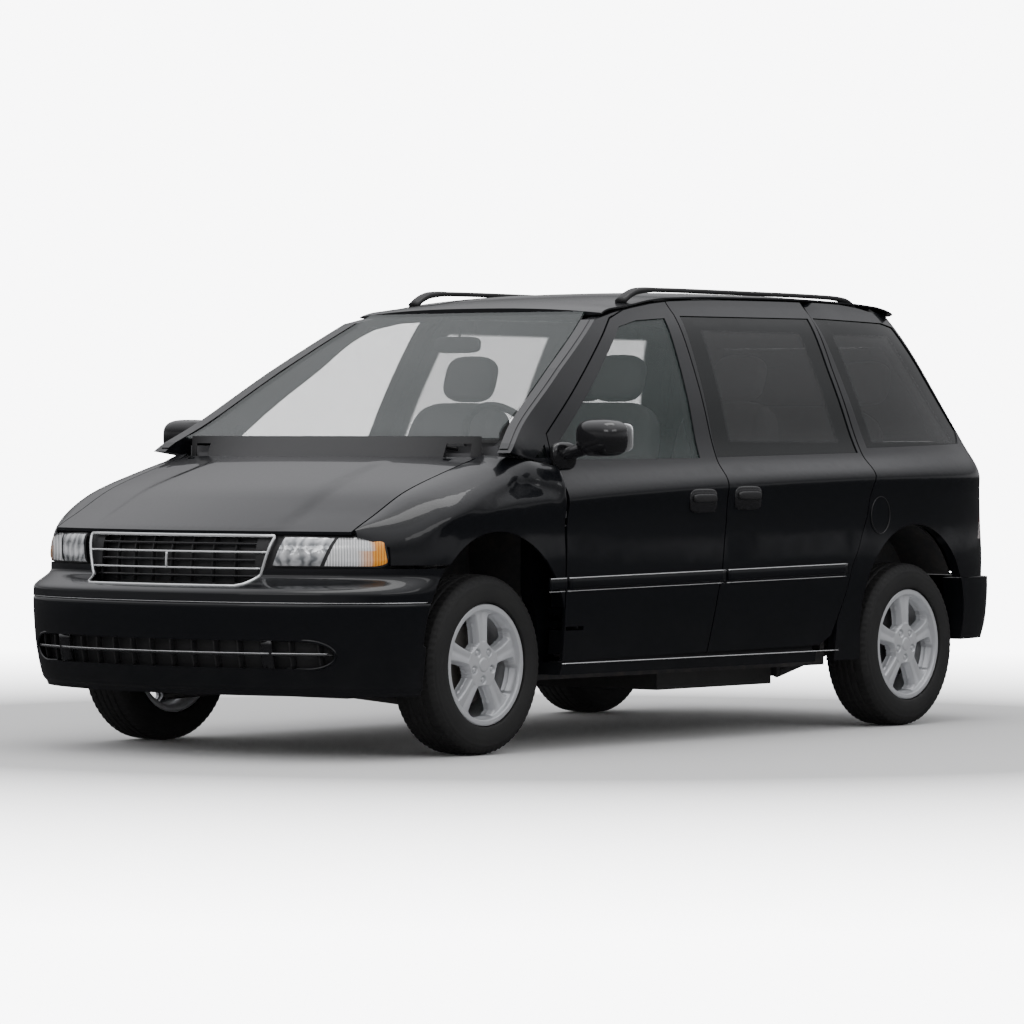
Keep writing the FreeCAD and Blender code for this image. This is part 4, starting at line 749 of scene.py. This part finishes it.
def barrel_grid(place):
    """Inside of the rim and the thickness of the face, one profile carried round."""
    angle = np.linspace(0, 2 * np.pi, 160, endpoint=False)[None, :]
    profile = np.array([(0.2345, 0.095), (0.2345, 0.092), (0.221, 0.090), (0.216, 0.05), (0.209, 0.0),
                        (0.209, -0.095), (0.2345, -0.099), (0.2345, -0.0935), (0.2215, -0.088),
                        (0.2205, 0.086), (0.2345, 0.093)])
    return about_axle(profile[:, :1], profile[:, 1:] * np.ones_like(angle), angle, place)


print("spokes", round(2 * np.pi / fifth))

# %% Wheels
for name, place in wheel_places.items():
    body, flip = "wheel_" + name, place[2] > 0
    face, keep = wheel_grid(place)
    grid_piece("cast_face_" + name, face, wheel_silver, body, "rim", wrap_columns=True, keep=keep, flip=flip,
               replaces=("rim_" + name,))
    back = face.copy()
    back[..., 1] -= place[2] * back_depth
    grid_piece("cast_back_" + name, back, wheel_silver, body, "rim", wrap_columns=True, keep=keep,
               flip=not flip)
    grid_piece("rim_barrel_" + name, barrel_grid(place), wheel_silver, body, "rim", wrap_rows=True,
               wrap_columns=True, flip=flip)
print("wheels", len(wheel_places))

# %% [markdown]
# ## Bumper skin
#
# The bumper carries a ledge with a bright line under it and a wide low opening, and its top eases back to
# the face of the vehicle. It is one grid in height and in turn round the nose. Each row ends where the
# wheel arch cuts it. Both openings are quads left out, and a frame bar hides their edge. Holes cut by a
# Boolean modifier would be sharper, but they leave long thin faces on which gloss paint looks dented.

# %% Skin of the nose
arch_middle_z, arch_radius = 0.430, 0.440
ease_start, ease_height, ledge_groove_z, skin_foot_z = 0.628, 0.070, 0.5935, 0.272


def cover_at(turn, z):
    """Bumper skin: the bumper's plan low down, a smooth step to the face's plan, less two grooves."""
    ease = np.clip((z - ease_start) / ease_height, 0, 1)
    ease = ease * ease * (3 - 2 * ease)
    bumper_x, bumper_y = front_plan(turn, z, bumper_nose)
    face_x, face_y = front_plan(turn, z, face_nose)
    groove = (0.004 * np.exp(-((z - ledge_groove_z) / 0.0035) ** 4)
              + 0.010 * np.clip((skin_foot_z - z) / 0.012, 0, 1))
    x = bumper_x + (face_x - bumper_x) * ease - groove * np.clip(1 - np.abs(turn), 0, 1)
    y = bumper_y + (face_y - bumper_y) * ease - groove * np.sign(turn) * 0.6
    return x, y, z * np.ones_like(turn)


heights = np.concatenate([np.linspace(0.244, 0.59, 70), np.linspace(0.5915, 0.60, 6),
                          np.linspace(0.603, 0.724, 30)])
reach = np.sqrt(np.maximum(arch_radius ** 2 - np.maximum(heights - arch_middle_z, 0) ** 2, 0.0))
edge_x = front_axle + np.where(heights < arch_middle_z, 0.97 * arch_radius, reach)
dense_turn = np.linspace(0.5, 1.0, 400)
turn_end = np.array([np.interp(x, cover_at(dense_turn, z)[0][::-1], dense_turn[::-1])
                     for x, z in zip(edge_x, heights)])
spacing = np.linspace(-1, 1, 421)
spacing = np.sign(spacing) * np.abs(spacing) ** 0.9
turns = turn_end[:, None] * spacing[None, :]
cover = np.stack(cover_at(turns, heights[:, None]), axis=-1)
lip = cover[:, [0, -1]] - np.array([0.0, 1.0, 0.0]) * np.array([[[-1.0], [1.0]]]) * 0.03
cover = np.concatenate([lip[:, :1], cover, lip[:, 1:]], axis=1)
print("skin grid", cover.shape)

# %% Openings in the skin
grille_foot_z, grille_foot_half, grille_head_half = 0.662, 0.395, 0.470
slot_z, slot_half_z, slot_straight, slot_round = 0.402, 0.054, 0.66, 0.10


def in_upper(y, z):
    """Inside the upper grille: a trapezoid, whose half width grows with height."""
    height = np.clip((z - grille_foot_z) / 0.18, 0, 1)
    half = grille_foot_half + (grille_head_half - grille_foot_half) * height
    return (np.abs(y) < half) & (z > grille_foot_z)


def in_lower(y, z):
    """Inside the wide opening: a long box, or half an ellipse at either end."""
    box = (np.abs(y) < slot_straight) & (np.abs(z - slot_z) < slot_half_z)
    return box | (((np.abs(y) - slot_straight) / slot_round) ** 2 + ((z - slot_z) / slot_half_z) ** 2 < 1)


middles = (cover[:-1, :-1] + cover[1:, 1:]) / 2
open_quad = in_upper(middles[..., 1], middles[..., 2]) | in_lower(middles[..., 1], middles[..., 2])
grid_piece("bumper_skin", cover, paint, "body", "paint", keep=~open_quad, flip=True,
           replaces=("bumper_front",))
print("bumper quads", int((~open_quad).sum()))

# %% [markdown]
# ## Lower opening
#
# A frame follows the opening's edge, a dark bar with a bright line crosses it, and ribs and two posts stand
# behind it before a dark back. Straight bars could be bent to the bumper with a modifier. Here each part
# asks for the skin's place at its width and height, read from the row of the skin there, so that it fits.


# %% Lower opening: frame, bar and back
def on_cover(y, z, sink=0.0, face=None):
    """Points of the skin at given y and z, found along the skin's row at each height, less the sink."""
    turn = np.linspace(-0.97, 0.97, 600)
    y, z = np.broadcast_arrays(np.asarray(y, float), np.asarray(z, float))
    x = np.empty(y.shape)
    for height in np.unique(z):
        row = z == height
        x_row, y_row = cover_at(turn, height)[:2] if face is None else front_plan(turn, height, face)
        x[row] = np.interp(y[row], y_row, x_row) - sink
    return np.stack([x, y, z], axis=-1)


angle = np.linspace(0, 2 * np.pi, 160, endpoint=False)
frame_path = on_cover(np.sign(np.cos(angle)) * slot_straight + slot_round * np.cos(angle),
                      slot_z + slot_half_z * np.sin(angle), 0.001)
grid_piece("lower_frame", swept(frame_path, oval(0.011, 0.011, 8), closed=True), paint, "body", "paint",
           wrap_rows=True, wrap_columns=True)
bar_y, bright_y = np.linspace(-0.752, 0.752, 61), np.linspace(-0.735, 0.735, 61)
bar_piece("lower_bar", on_cover(bar_y, slot_z, 0.004), oval(0.010, 0.009, 10), gloss_black, "grille_plastic")
bar_piece("lower_bright_line", on_cover(bright_y, 0.4075), oval(0.003, 0.003, 6), chrome, "rim")
back_y, back_z = np.meshgrid(np.linspace(-0.80, 0.80, 81), np.linspace(0.335, 0.470, 5))
grid_piece("lower_back", on_cover(back_y, back_z, 0.045), black_trim, "body", "grille_plastic", flip=True,
           replaces=("grille",))
print("lower frame ready")

# %% Ribs, posts and the line under the ledge
rib_low, rib_high = 0.349, 0.455


def upright(name, y, low, high, sink, width, depth, finish, surface=None):
    """A rib behind the skin: an upright bar with a squarish section."""
    path = on_cover(np.full(8, y), np.linspace(low, high, 8), sink, surface)
    bar_piece(name, path, oval(width, depth, 12, 5.0), finish, "grille_plastic", up=(1.0, 0.0, 0.0))


for index, y in enumerate(np.linspace(-0.70, 0.70, 15)):
    upright("lower_rib_%02d" % index, y, rib_low, rib_high, 0.026, 0.006, 0.030, black_trim)
for index, y in enumerate((-0.515, 0.515)):
    upright("lower_post_%d" % index, y, rib_low, rib_high, 0.014, 0.055, 0.020, gloss_black)
line_end_x = 1.832
line_x, line_y, line_z = cover_at(np.linspace(-0.80, 0.80, 161), np.full(161, 0.5975))
bright_path = np.stack([line_x, line_y, line_z], axis=-1)[line_x > line_end_x]
bright_path[:, 0] -= 0.0005
bar_piece("ledge_line", bright_path, oval(0.0026, 0.0026, 6), chrome, "rim")
print("lower opening done")

# %% [markdown]
# ## Upper grille
#
# A trapezoid framed in chrome, with two chrome bars, three dark bars set back and nine ribs, and a small
# upright tick in the middle. The frame is a line through ten corner points, laid on the skin like the bars,
# because that keeps every part at the same depth round the bowed nose.

# %% Upper grille
frame_points = np.array([(-0.395, 0.664), (-0.43, 0.700), (-0.468, 0.838), (-0.464, 0.846), (0.464, 0.846),
                         (0.468, 0.838), (0.43, 0.700), (0.395, 0.664), (0.37, 0.657), (-0.37, 0.657)])
frame_line = np.concatenate(finer(np.concatenate([frame_points, frame_points[:1]]), [16] * 10))
grid_piece("grille_chrome_frame", swept(on_cover(frame_line[:, 0], frame_line[:, 1]), oval(0.012, 0.010, 10),
                                        up=(1.0, 0.0, 0.0), closed=True),
           chrome, "body", "rim", wrap_rows=True, wrap_columns=True)
for index, (z, half) in enumerate(((0.722, 0.425), (0.784, 0.447))):
    bar_piece("grille_chrome_bar_%d" % index, on_cover(np.linspace(-half, half, 41), z, 0.004),
              oval(0.010, 0.008, 10), chrome, "rim")
for index, z in enumerate((0.692, 0.753, 0.815)):
    bar_piece("grille_dark_bar_%d" % index,
              on_cover(np.linspace(-0.44, 0.44, 41) * (0.93 + 0.05 * index), z, 0.030),
              oval(0.022, 0.010, 10, 4.0), gloss_black, "grille_plastic")
for index, y in enumerate(np.linspace(-0.40, 0.40, 9)):
    upright("grille_rib_%d" % index, y, 0.668, 0.842, 0.034, 0.006, 0.020, black_trim, face_nose)
upright("grille_tick", 0.0, 0.726, 0.780, -0.001, 0.008, 0.008, chrome, face_nose)
back_y, back_z = np.meshgrid(np.linspace(-0.49, 0.49, 61), np.linspace(0.645, 0.850, 7))
grid_piece("grille_back", on_cover(back_y, back_z, 0.050, face_nose), black_trim, "body", "grille_plastic",
           flip=True)
print("grille done")

# %% [markdown]
# ## Headlamps and turn signals
#
# On the real lamp a clear moulding covers a bright faceted reflector, and a second one beside it is fluted
# and turns amber at its outer end. At this distance the two read as one bright patterned surface, so the
# pattern is drawn in the material: crossing sine waves for the facets, one fine wave for the flutes. The
# light and dark of that pattern in the colour is painted reflection on the reflector and painted highlight on
# the flutes.

# %% Lamp finishes
lamp_bright = Finish("lamp_reflector", (0.75, 0.77, 0.80), 0.12, 0.55, Coat_Weight=1.0, Coat_Roughness=0.02)
facets = (lamp_bright.axis("Y") * 150.0 + lamp_bright.noise(22.0, 2.0) * 9.0).wave()
streaks = (lamp_bright.axis("Z") * 95.0 + lamp_bright.noise(14.0, 1.0) * 6.0).wave()
# Painted reflection: this mask takes the reflector's colour from dark to bright in crossing stripes, drawn
# glints of its facets.
shine = (facets * 0.55 + streaks * 0.45).clamp()
lamp_bright.feed("Base Color", lamp_bright.blend(shine, (0.16, 0.17, 0.18), (0.95, 0.96, 0.98)))
lamp_bright.bump(facets, 0.002, 0.6)

flute_pitch, amber_x, half_amber_x, half_amber_z = 420.0, 1.992, 2.022, 0.792
signal = Finish("signal_lens", (0.80, 0.55, 0.25), 0.10, 0.2, Coat_Weight=1.0, Coat_Roughness=0.02)
flutes = (signal.axis("Y") * flute_pitch - signal.axis("X") * flute_pitch).wave()
outer_end = 1.0 - signal.axis("X").above(amber_x, 0.016)
half_way = ((1.0 - signal.axis("X").above(half_amber_x, 0.02))
            * (1.0 - signal.axis("Z").above(half_amber_z, 0.004)))
# The flutes are moulded, and their lighter and darker stripes in the clear and amber colours are painted
# highlights.
clear_part = signal.blend(flutes, (0.42, 0.43, 0.44), (0.92, 0.92, 0.93))
amber_part = signal.blend(flutes, (0.62, 0.20, 0.02), (0.95, 0.42, 0.06))
signal.feed("Base Color", signal.blend((outer_end + half_way * 0.6).clamp(), clear_part, amber_part))
signal.bump(flutes, 0.001, 0.5)
print("lamp finishes ready")

# %% [markdown]
# ## Lamp bodies
#
# The lenses follow the face of the vehicle and stand six millimetres proud of it, with the edges drawn
# back. A dark gasket shows round them, and a dark housing fills the gap to the grille behind them. A lens
# could be cut from the face's solid. A strip of the same plan curve has a cleaner edge and bulges freely.

# %% Places round the nose
lamp_low, lamp_high, housing_sink, housing_margin = 0.729, 0.846, 0.018, 0.012


def turn_where(z, y=None, x=None):
    """Place round the face, from the middle to the side, where its plan has the given y or x."""
    dense = np.linspace(0.02, 1.0, 1400)
    plan_x, plan_y = front_plan(dense, z, face_nose)
    return float(np.interp(y, plan_y, dense)) if y is not None else float(np.interp(-x, -plan_x, dense))


inner_turn = [turn_where(lamp_low, y=0.468), turn_where(lamp_high, y=0.505)]
split_turn = [turn_where(lamp_low, x=2.098), turn_where(lamp_high, x=2.050)]
outer_turn = [turn_where(lamp_low, x=1.947), turn_where(lamp_high, x=1.947)]
housing_turn = [turn_where(lamp_low, y=0.400), outer_turn[0] - 0.01]
print("lamp from", inner_turn, "to", outer_turn)


# %% Lamp lenses
def lens_grid(first, last, proud, round_end=0.0, inset=0.0):
    """Face between two places round it, pushed out by 1 - t^8 across; an elliptic step rounds the far end."""
    s = np.linspace(inset, 1 - inset, 61)[None, :]
    t = np.linspace(0, 1, 25)[:, None]
    middle, reach = (lamp_low + lamp_high) / 2, (lamp_high - lamp_low) / 2 - inset * 0.1
    if round_end:
        reach = reach * np.sqrt(1 - (np.clip((s - 1 + round_end) / round_end, 0, 1) * 0.985) ** 2) ** 0.5
    z = middle + reach * (2 * t - 1)
    share = (z - lamp_low) / (lamp_high - lamp_low)
    start = first[0] + (first[1] - first[0]) * share
    end = last[0] + (last[1] - last[0]) * share
    bulge = proud * (1 - np.abs(2 * t - 1) ** 8) * np.ones_like(s)
    x, y = front_plan(start + (end - start) * s, z, face_nose, -bulge)
    return np.stack(np.broadcast_arrays(x, y, z), axis=-1)


def housing_grid():
    """The face again, 18 mm further in and 12 mm higher and lower, from the grille to the lamp's end."""
    z_part = np.linspace(0, 1, 9)[:, None]
    z = lamp_low - housing_margin + (lamp_high - lamp_low + 2 * housing_margin) * z_part
    start, end = housing_turn
    x, y = front_plan(start + (end - start) * np.linspace(0, 1, 61)[None, :], z, face_nose, housing_sink)
    return np.stack(np.broadcast_arrays(x, y, z), axis=-1)


both_sides("lamp_housing_SIDE", housing_grid(), black_trim, "body", "grille_plastic", flip=True)
both_sides("lamp_gasket_SIDE", lens_grid(inner_turn, outer_turn, 0.0022, 0.10), black_trim, "body",
           "grille_plastic", flip=True)
both_sides("headlamp_lens_SIDE", lens_grid(inner_turn, split_turn, 0.006, 0.0, 0.035), lamp_bright, "body",
           "lamp_clear", flip=True, replaces=("headlamps",))
both_sides("signal_lens_SIDE", lens_grid(split_turn, outer_turn, 0.006, 0.25, 0.035), signal, "body",
           "lamp_clear", flip=True)
print("lamps done")

# %% [markdown]
# ## Mirrors
#
# A rounded shell on a short arm, with a foot where the arm meets the door and a bright glass facing back.
# Soft blocks give all but the arm, which is a flat oval carried from foot to shell. A box with Subdivision
# Surface would look alike, but the block's formula says at once how round it is and stays small.

# %% Mirrors
foot_place, arm_start, arm_end = (0.925, 0.900, 1.150), (0.925, 0.895, 1.150), (0.900, 1.030, 1.190)
mirror_body = "door_front_SIDE"
mirror_shell = rounded_block((0.893, 1.072, 1.221), (0.150, 0.214, 0.146), 3.2, 32, 48)
mirror_shell[..., 0] += 0.02 * np.clip((mirror_shell[..., 1] - 1.0) / 0.18, 0, 1)
both_sides("mirror_shell_SIDE", mirror_shell, gloss_black, mirror_body, "dark_trim", wrap_columns=True,
           replaces=("mirror_SIDE",))
both_sides("mirror_glass_SIDE", rounded_block((0.822, 1.075, 1.222), (0.010, 0.176, 0.112), 5.0, 16, 32),
           chrome, mirror_body, "rim", wrap_columns=True)
arm_t = np.linspace(0, 1, 14)[:, None]
mirror_arm = bar(np.array(arm_start) * (1 - arm_t) + np.array(arm_end) * arm_t, oval(0.075, 0.050, 20, 2.6))
both_sides("mirror_arm_SIDE", mirror_arm, gloss_black, mirror_body, "dark_trim", wrap_columns=True)
both_sides("mirror_foot_SIDE", rounded_block(foot_place, (0.150, 0.045, 0.110), 3.0, 20, 32), gloss_black,
           mirror_body, "dark_trim", wrap_columns=True)
print("mirrors done")

# %% [markdown]
# ## Side mouldings
#
# A moulding runs along both doors with a bright edge on top and a second bright line below it, and ends
# in a gap at each seam so that the doors can move. Its height rises slightly towards the rear. Each strip
# is a section carried along the side at that height, and rides with the panel that it is stuck to. A curve
# with a bevel would do as well, but it would have to be made a mesh.


# %% Mouldings and bright lines
def side_strip(name, x_from, x_to, z_from, z_to, proud, section, finish, slot, owner):
    """A strip along the body side: y is the side's half width at each height, plus how proud it stands."""
    x = np.linspace(x_from, x_to, 41)
    z = z_from + (z_to - z_from) * np.linspace(0, 1, 41)
    path = np.stack([x, side_at(z) + proud, z], axis=-1)
    both_sides(name + "_SIDE", bar(path, section), finish, owner, slot, wrap_columns=True)


moulding_z = lambda x: 0.653 + (1.098 - x) / 2.171 * 0.030
bright_z = lambda x: 0.628 + (0.949 - x) / 1.893 * 0.025
edge_rise, line_drop = 0.020, 0.004
for label, x_from, x_to, owner in (("fender", 1.095, 0.995, "body"),
                                   ("front_door", 0.978, -0.058, "door_front_SIDE"),
                                   ("sliding_door", -0.078, -0.925, "body")):
    low_z, high_z = moulding_z(x_from), moulding_z(x_to)
    side_strip("moulding_" + label, x_from, x_to, low_z, high_z, 0.003, oval(0.014, 0.046, 20, 3.5), paint,
               "paint", owner)
    side_strip("moulding_edge_" + label, x_from, x_to, low_z + edge_rise, high_z + edge_rise, 0.0085,
               oval(0.004, 0.004, 8), chrome, "rim", owner)
    side_strip("bright_line_" + label, x_from, x_to, bright_z(x_from) - line_drop, bright_z(x_to) - line_drop,
               0.001, oval(0.003, 0.003, 8), chrome, "rim", owner)
side_strip("sill_line", 0.99, -0.90, 0.3405, 0.3405, 0.002, oval(0.004, 0.004, 8), chrome, "rim", "body")
print("mouldings done")

# %% [markdown]
# ## Handles and filler door
#
# Each door has a dark pull in a rounded bezel, and the filler door is an oval seam in the rear panel. They
# are soft blocks and a closed ring, set a little into the skin, because real recesses would need cuts in the
# construction's solids and would hardly show at this size.

# %% Handles and filler door
bezel_y, pull_y, pull_rise = 0.966, 0.978, 0.010
for label, x, z, owner in (("front", 0.090, 0.970, "door_front_"), ("sliding", -0.219, 0.980, "")):
    for side, word in ((1, "left"), (-1, "right")):
        body, ending = owner + word if owner else "body", "%s_%s" % (label, word)
        bezel = rounded_block((x, bezel_y * side, z), (0.185, 0.020, 0.098), 4.5, 20, 40)
        pull = rounded_block((x, pull_y * side, z + pull_rise), (0.155, 0.020, 0.034), 4.0, 16, 32)
        grid_piece("handle_bezel_" + ending, bezel, gloss_black, body, "dark_trim", wrap_columns=True)
        grid_piece("handle_pull_" + ending, pull, black_trim, body, "dark_trim", wrap_columns=True)
ring = np.linspace(0, 2 * np.pi, 72, endpoint=False)
filler_line = np.stack([-1.184 + 0.069 * np.cos(ring), np.full(72, 0.964), 0.902 + 0.078 * np.sin(ring)],
                       axis=-1)
grid_piece("filler_door_seam", swept(filler_line, oval(0.004, 0.006, 6), closed=True, up=(0.0, 1.0, 0.0)),
           black_trim, "body", "dark_trim", wrap_rows=True, wrap_columns=True)
print("handles and filler door done")

# %% [markdown]
# ## Roof rails
#
# A dark oval bar along each side of the roof, which bends down to the skin and grows wider at its feet,
# the front one most. The height comes from a smooth table, and the width is a straight ramp at each end.
# A curve's bevel has one width and height ratio all along, but here the two change apart from each other.

# %% Roof rails
rail_count, rail_y = 90, 0.5445
rail_height = smooth_table([(-1.588, 1.770), (-1.56, 1.800), (-1.50, 1.822), (-1.40, 1.830), (-1.0, 1.833),
                            (-0.4, 1.833), (-0.12, 1.831), (-0.02, 1.824), (0.04, 1.806), (0.092, 1.775)])
rail_x = np.linspace(0.090, -1.586, rail_count)
rail_path = np.stack([rail_x, np.full(rail_count, rail_y), rail_height(rail_x)], axis=-1)
front_foot = 0.9 * np.clip((rail_x + 0.14) / 0.12, 0, 1)[:, None]
rear_foot = 0.5 * np.clip((-1.44 - rail_x) / 0.10, 0, 1)[:, None]
foot_wide = 1 + front_foot + rear_foot
rail_section = (oval(0.026, 0.020, 20, 2.6) * np.ones((rail_count, 1, 1))
                * np.stack([foot_wide, foot_wide * 0.5 + 0.5], axis=-1))
both_sides("roof_rail_SIDE", bar(rail_path, rail_section), black_trim, "body", "dark_trim", wrap_columns=True,
           replaces=("roof_rails",))
print("roof rails done")

# %% [markdown]
# ## Wipers and cabin mirror
#
# Each wiper is an arm and a blade, thin round bars along a curve through three points, resting at the foot
# of the windscreen. Three points are enough for parts that are nearly straight. The cabin mirror is a soft
# block on a stem, seen through the glass.


# %% Wipers and cabin mirror
def rod_piece(name, points, radius):
    """A round bar along a smooth curve through a few points, each coordinate a cubic of the way along."""
    points = np.array(points, float)
    place = np.linspace(0, 1, len(points))
    dense = np.linspace(0, 1, 40)
    path = np.stack([smooth_table(list(zip(place, points[:, k])))(dense) for k in range(3)], axis=-1)
    bar_piece(name, path, oval(radius * 2, radius * 2, 10), black_trim, "dark_trim")


rod_piece("wiper_arm_driver", [(1.215, 0.60, 1.176), (1.212, 0.42, 1.200), (1.222, 0.18, 1.212)], 0.007)
rod_piece("wiper_blade_driver", [(1.180, 0.47, 1.206), (1.210, 0.20, 1.215), (1.222, -0.12, 1.216)], 0.006)
rod_piece("wiper_arm_passenger", [(1.250, -0.02, 1.186), (1.238, -0.20, 1.208), (1.222, -0.38, 1.210)], 0.007)
rod_piece("wiper_blade_passenger", [(1.225, -0.10, 1.214), (1.215, -0.40, 1.212), (1.170, -0.66, 1.205)],
          0.006)
grid_piece("cabin_mirror", rounded_block((0.470, 0.0, 1.600), (0.030, 0.240, 0.068), 4.0, 20, 40),
           gloss_black, "body", "dark_trim", wrap_columns=True)
rod_piece("cabin_mirror_stem", [(0.460, 0.0, 1.600), (0.455, 0.0, 1.640), (0.462, 0.0, 1.672)], 0.006)
print("wipers and cabin mirror done")

# %% [markdown]
# ## Seats
#
# Each cushion is a crowned closed form, fuller in the middle than at its edges, with a raised bolster along
# each side and a sewn channel between bolster and middle. Cloth could be stretched over a block by a
# simulation. The shape is worked out in sums instead, which gives the same fold in every run.


# %% Seat pads
back_lean = math.radians(18)
cushion_length, cushion_thick, back_thick, back_height, pad_share = 0.515, 0.128, 0.125, 0.685, 0.985
head_size, head_rise, channel_depth, crown_rise = (0.088, 0.255, 0.195), 0.80, 0.16, 0.04


def pad_grid(size, bolster):
    """Superellipsoid, its thin way times 1, less a bell at each channel, plus a cosine crown between them."""
    grid = rounded_block((0, 0, 0), size, 4.6, 44, 72)
    across = grid[..., 1] / (size[1] / 2)
    channel = np.exp(-((np.abs(across) - bolster) / 0.035) ** 2)
    crown = 0.5 + 0.5 * np.cos(np.clip(across / bolster, -1, 1) * np.pi)
    thin = int(np.argmin(size))
    grid[..., thin] *= 1 - channel_depth * channel + crown_rise * crown
    grid[..., thin] *= np.where(np.abs(across) > bolster, 1.04, 1.0)
    return grid


def seat_pads(name, x, y, width, cushion_z, heads, node=None):
    """Cushion, back leaning 18 degrees, head restraints and base of one seat, in place of the node."""
    joint = np.array([x - 0.52, y, cushion_z])
    turn_back = np.array([[math.cos(back_lean), 0, -math.sin(back_lean)], [0, 1, 0],
                          [math.sin(back_lean), 0, math.cos(back_lean)]])
    cushion = pad_grid((cushion_length, width * pad_share, cushion_thick), 0.68)
    cushion = cushion + np.array([x - 0.26, y, cushion_z - 0.065])
    back = pad_grid((back_thick, width * pad_share, back_height), 0.66) + np.array([0.0, 0.0, 0.345])
    pieces = [("cushion", cushion), ("back", back @ turn_back.T + joint)]
    for index, offset in enumerate(heads):
        head = rounded_block((0.0, offset, head_rise), head_size, 3.4, 32, 56)
        pieces.append(("head_%d" % index, head @ turn_back.T + joint))
    for label, grid in pieces:
        piece = grid_piece("%s_%s" % (name, label), grid, seat_cloth, "body", "seat_cloth", wrap_columns=True,
                           replaces=(node,) if node and label == "cushion" else ())
    base = rounded_block((x - 0.27, y, cushion_z - 0.24), (0.40, width * 0.8, 0.22), 8.0, 16, 32)
    grid_piece(name + "_base", base, dash_plastic, "body", "dash_plastic", wrap_columns=True)


for side, word in ((1, "left"), (-1, "right")):
    seat_pads("front_seat_" + word, 0.662, 0.389 * side, 0.520, 0.708, (0.0,),
              "front_seats" if side > 0 else None)
    seat_pads("second_seat_" + word, -0.149, 0.418 * side, 0.500, 0.718, (0.0,),
              "second_row_seats" if side > 0 else None)
seat_pads("third_seat", -1.171, 0.0, 1.040, 0.708, (-0.36, 0.36), "third_row_seat")

# %% [markdown]
# ## Roof skin
#
# The roof keeps the construction's curve, and its rear corners are drawn in to a rounded plan: the edge
# moves forward with the sixth power of the distance from the middle. A new surface would have to be fitted
# to the old one, so the points of a copy are moved. The copy isn't merged, because its corners carry normals
# of their own, which keep the rim crisp, and points that lie together move together anyway.

# %% Rounded rear corners of the roof
corner_length, corner_pull, corner_power = 0.26, 0.80, 6
roof_low, roof_high = [np.array(corner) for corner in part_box("roof")]
roof_mesh = nodes["roof"].data.copy()
roof_mesh.name = "roof_skin"
roof_points = np.empty(len(roof_mesh.vertices) * 3, np.float32)
roof_mesh.vertices.foreach_get("co", roof_points)
roof_points = roof_points.reshape(-1, 3)
behind = np.clip(roof_low[0] + corner_length - roof_points[:, 0], 0, None)
out = np.abs(roof_points[:, 1]) / roof_high[1]
roof_points[:, 0] += behind * corner_pull * out ** corner_power
roof_mesh.vertices.foreach_set("co", roof_points.ravel())
add_piece("roof_skin", roof_mesh, "body", ("roof",))
print("roof box", roof_low.round(3), roof_high.round(3), "points", len(roof_mesh.vertices))
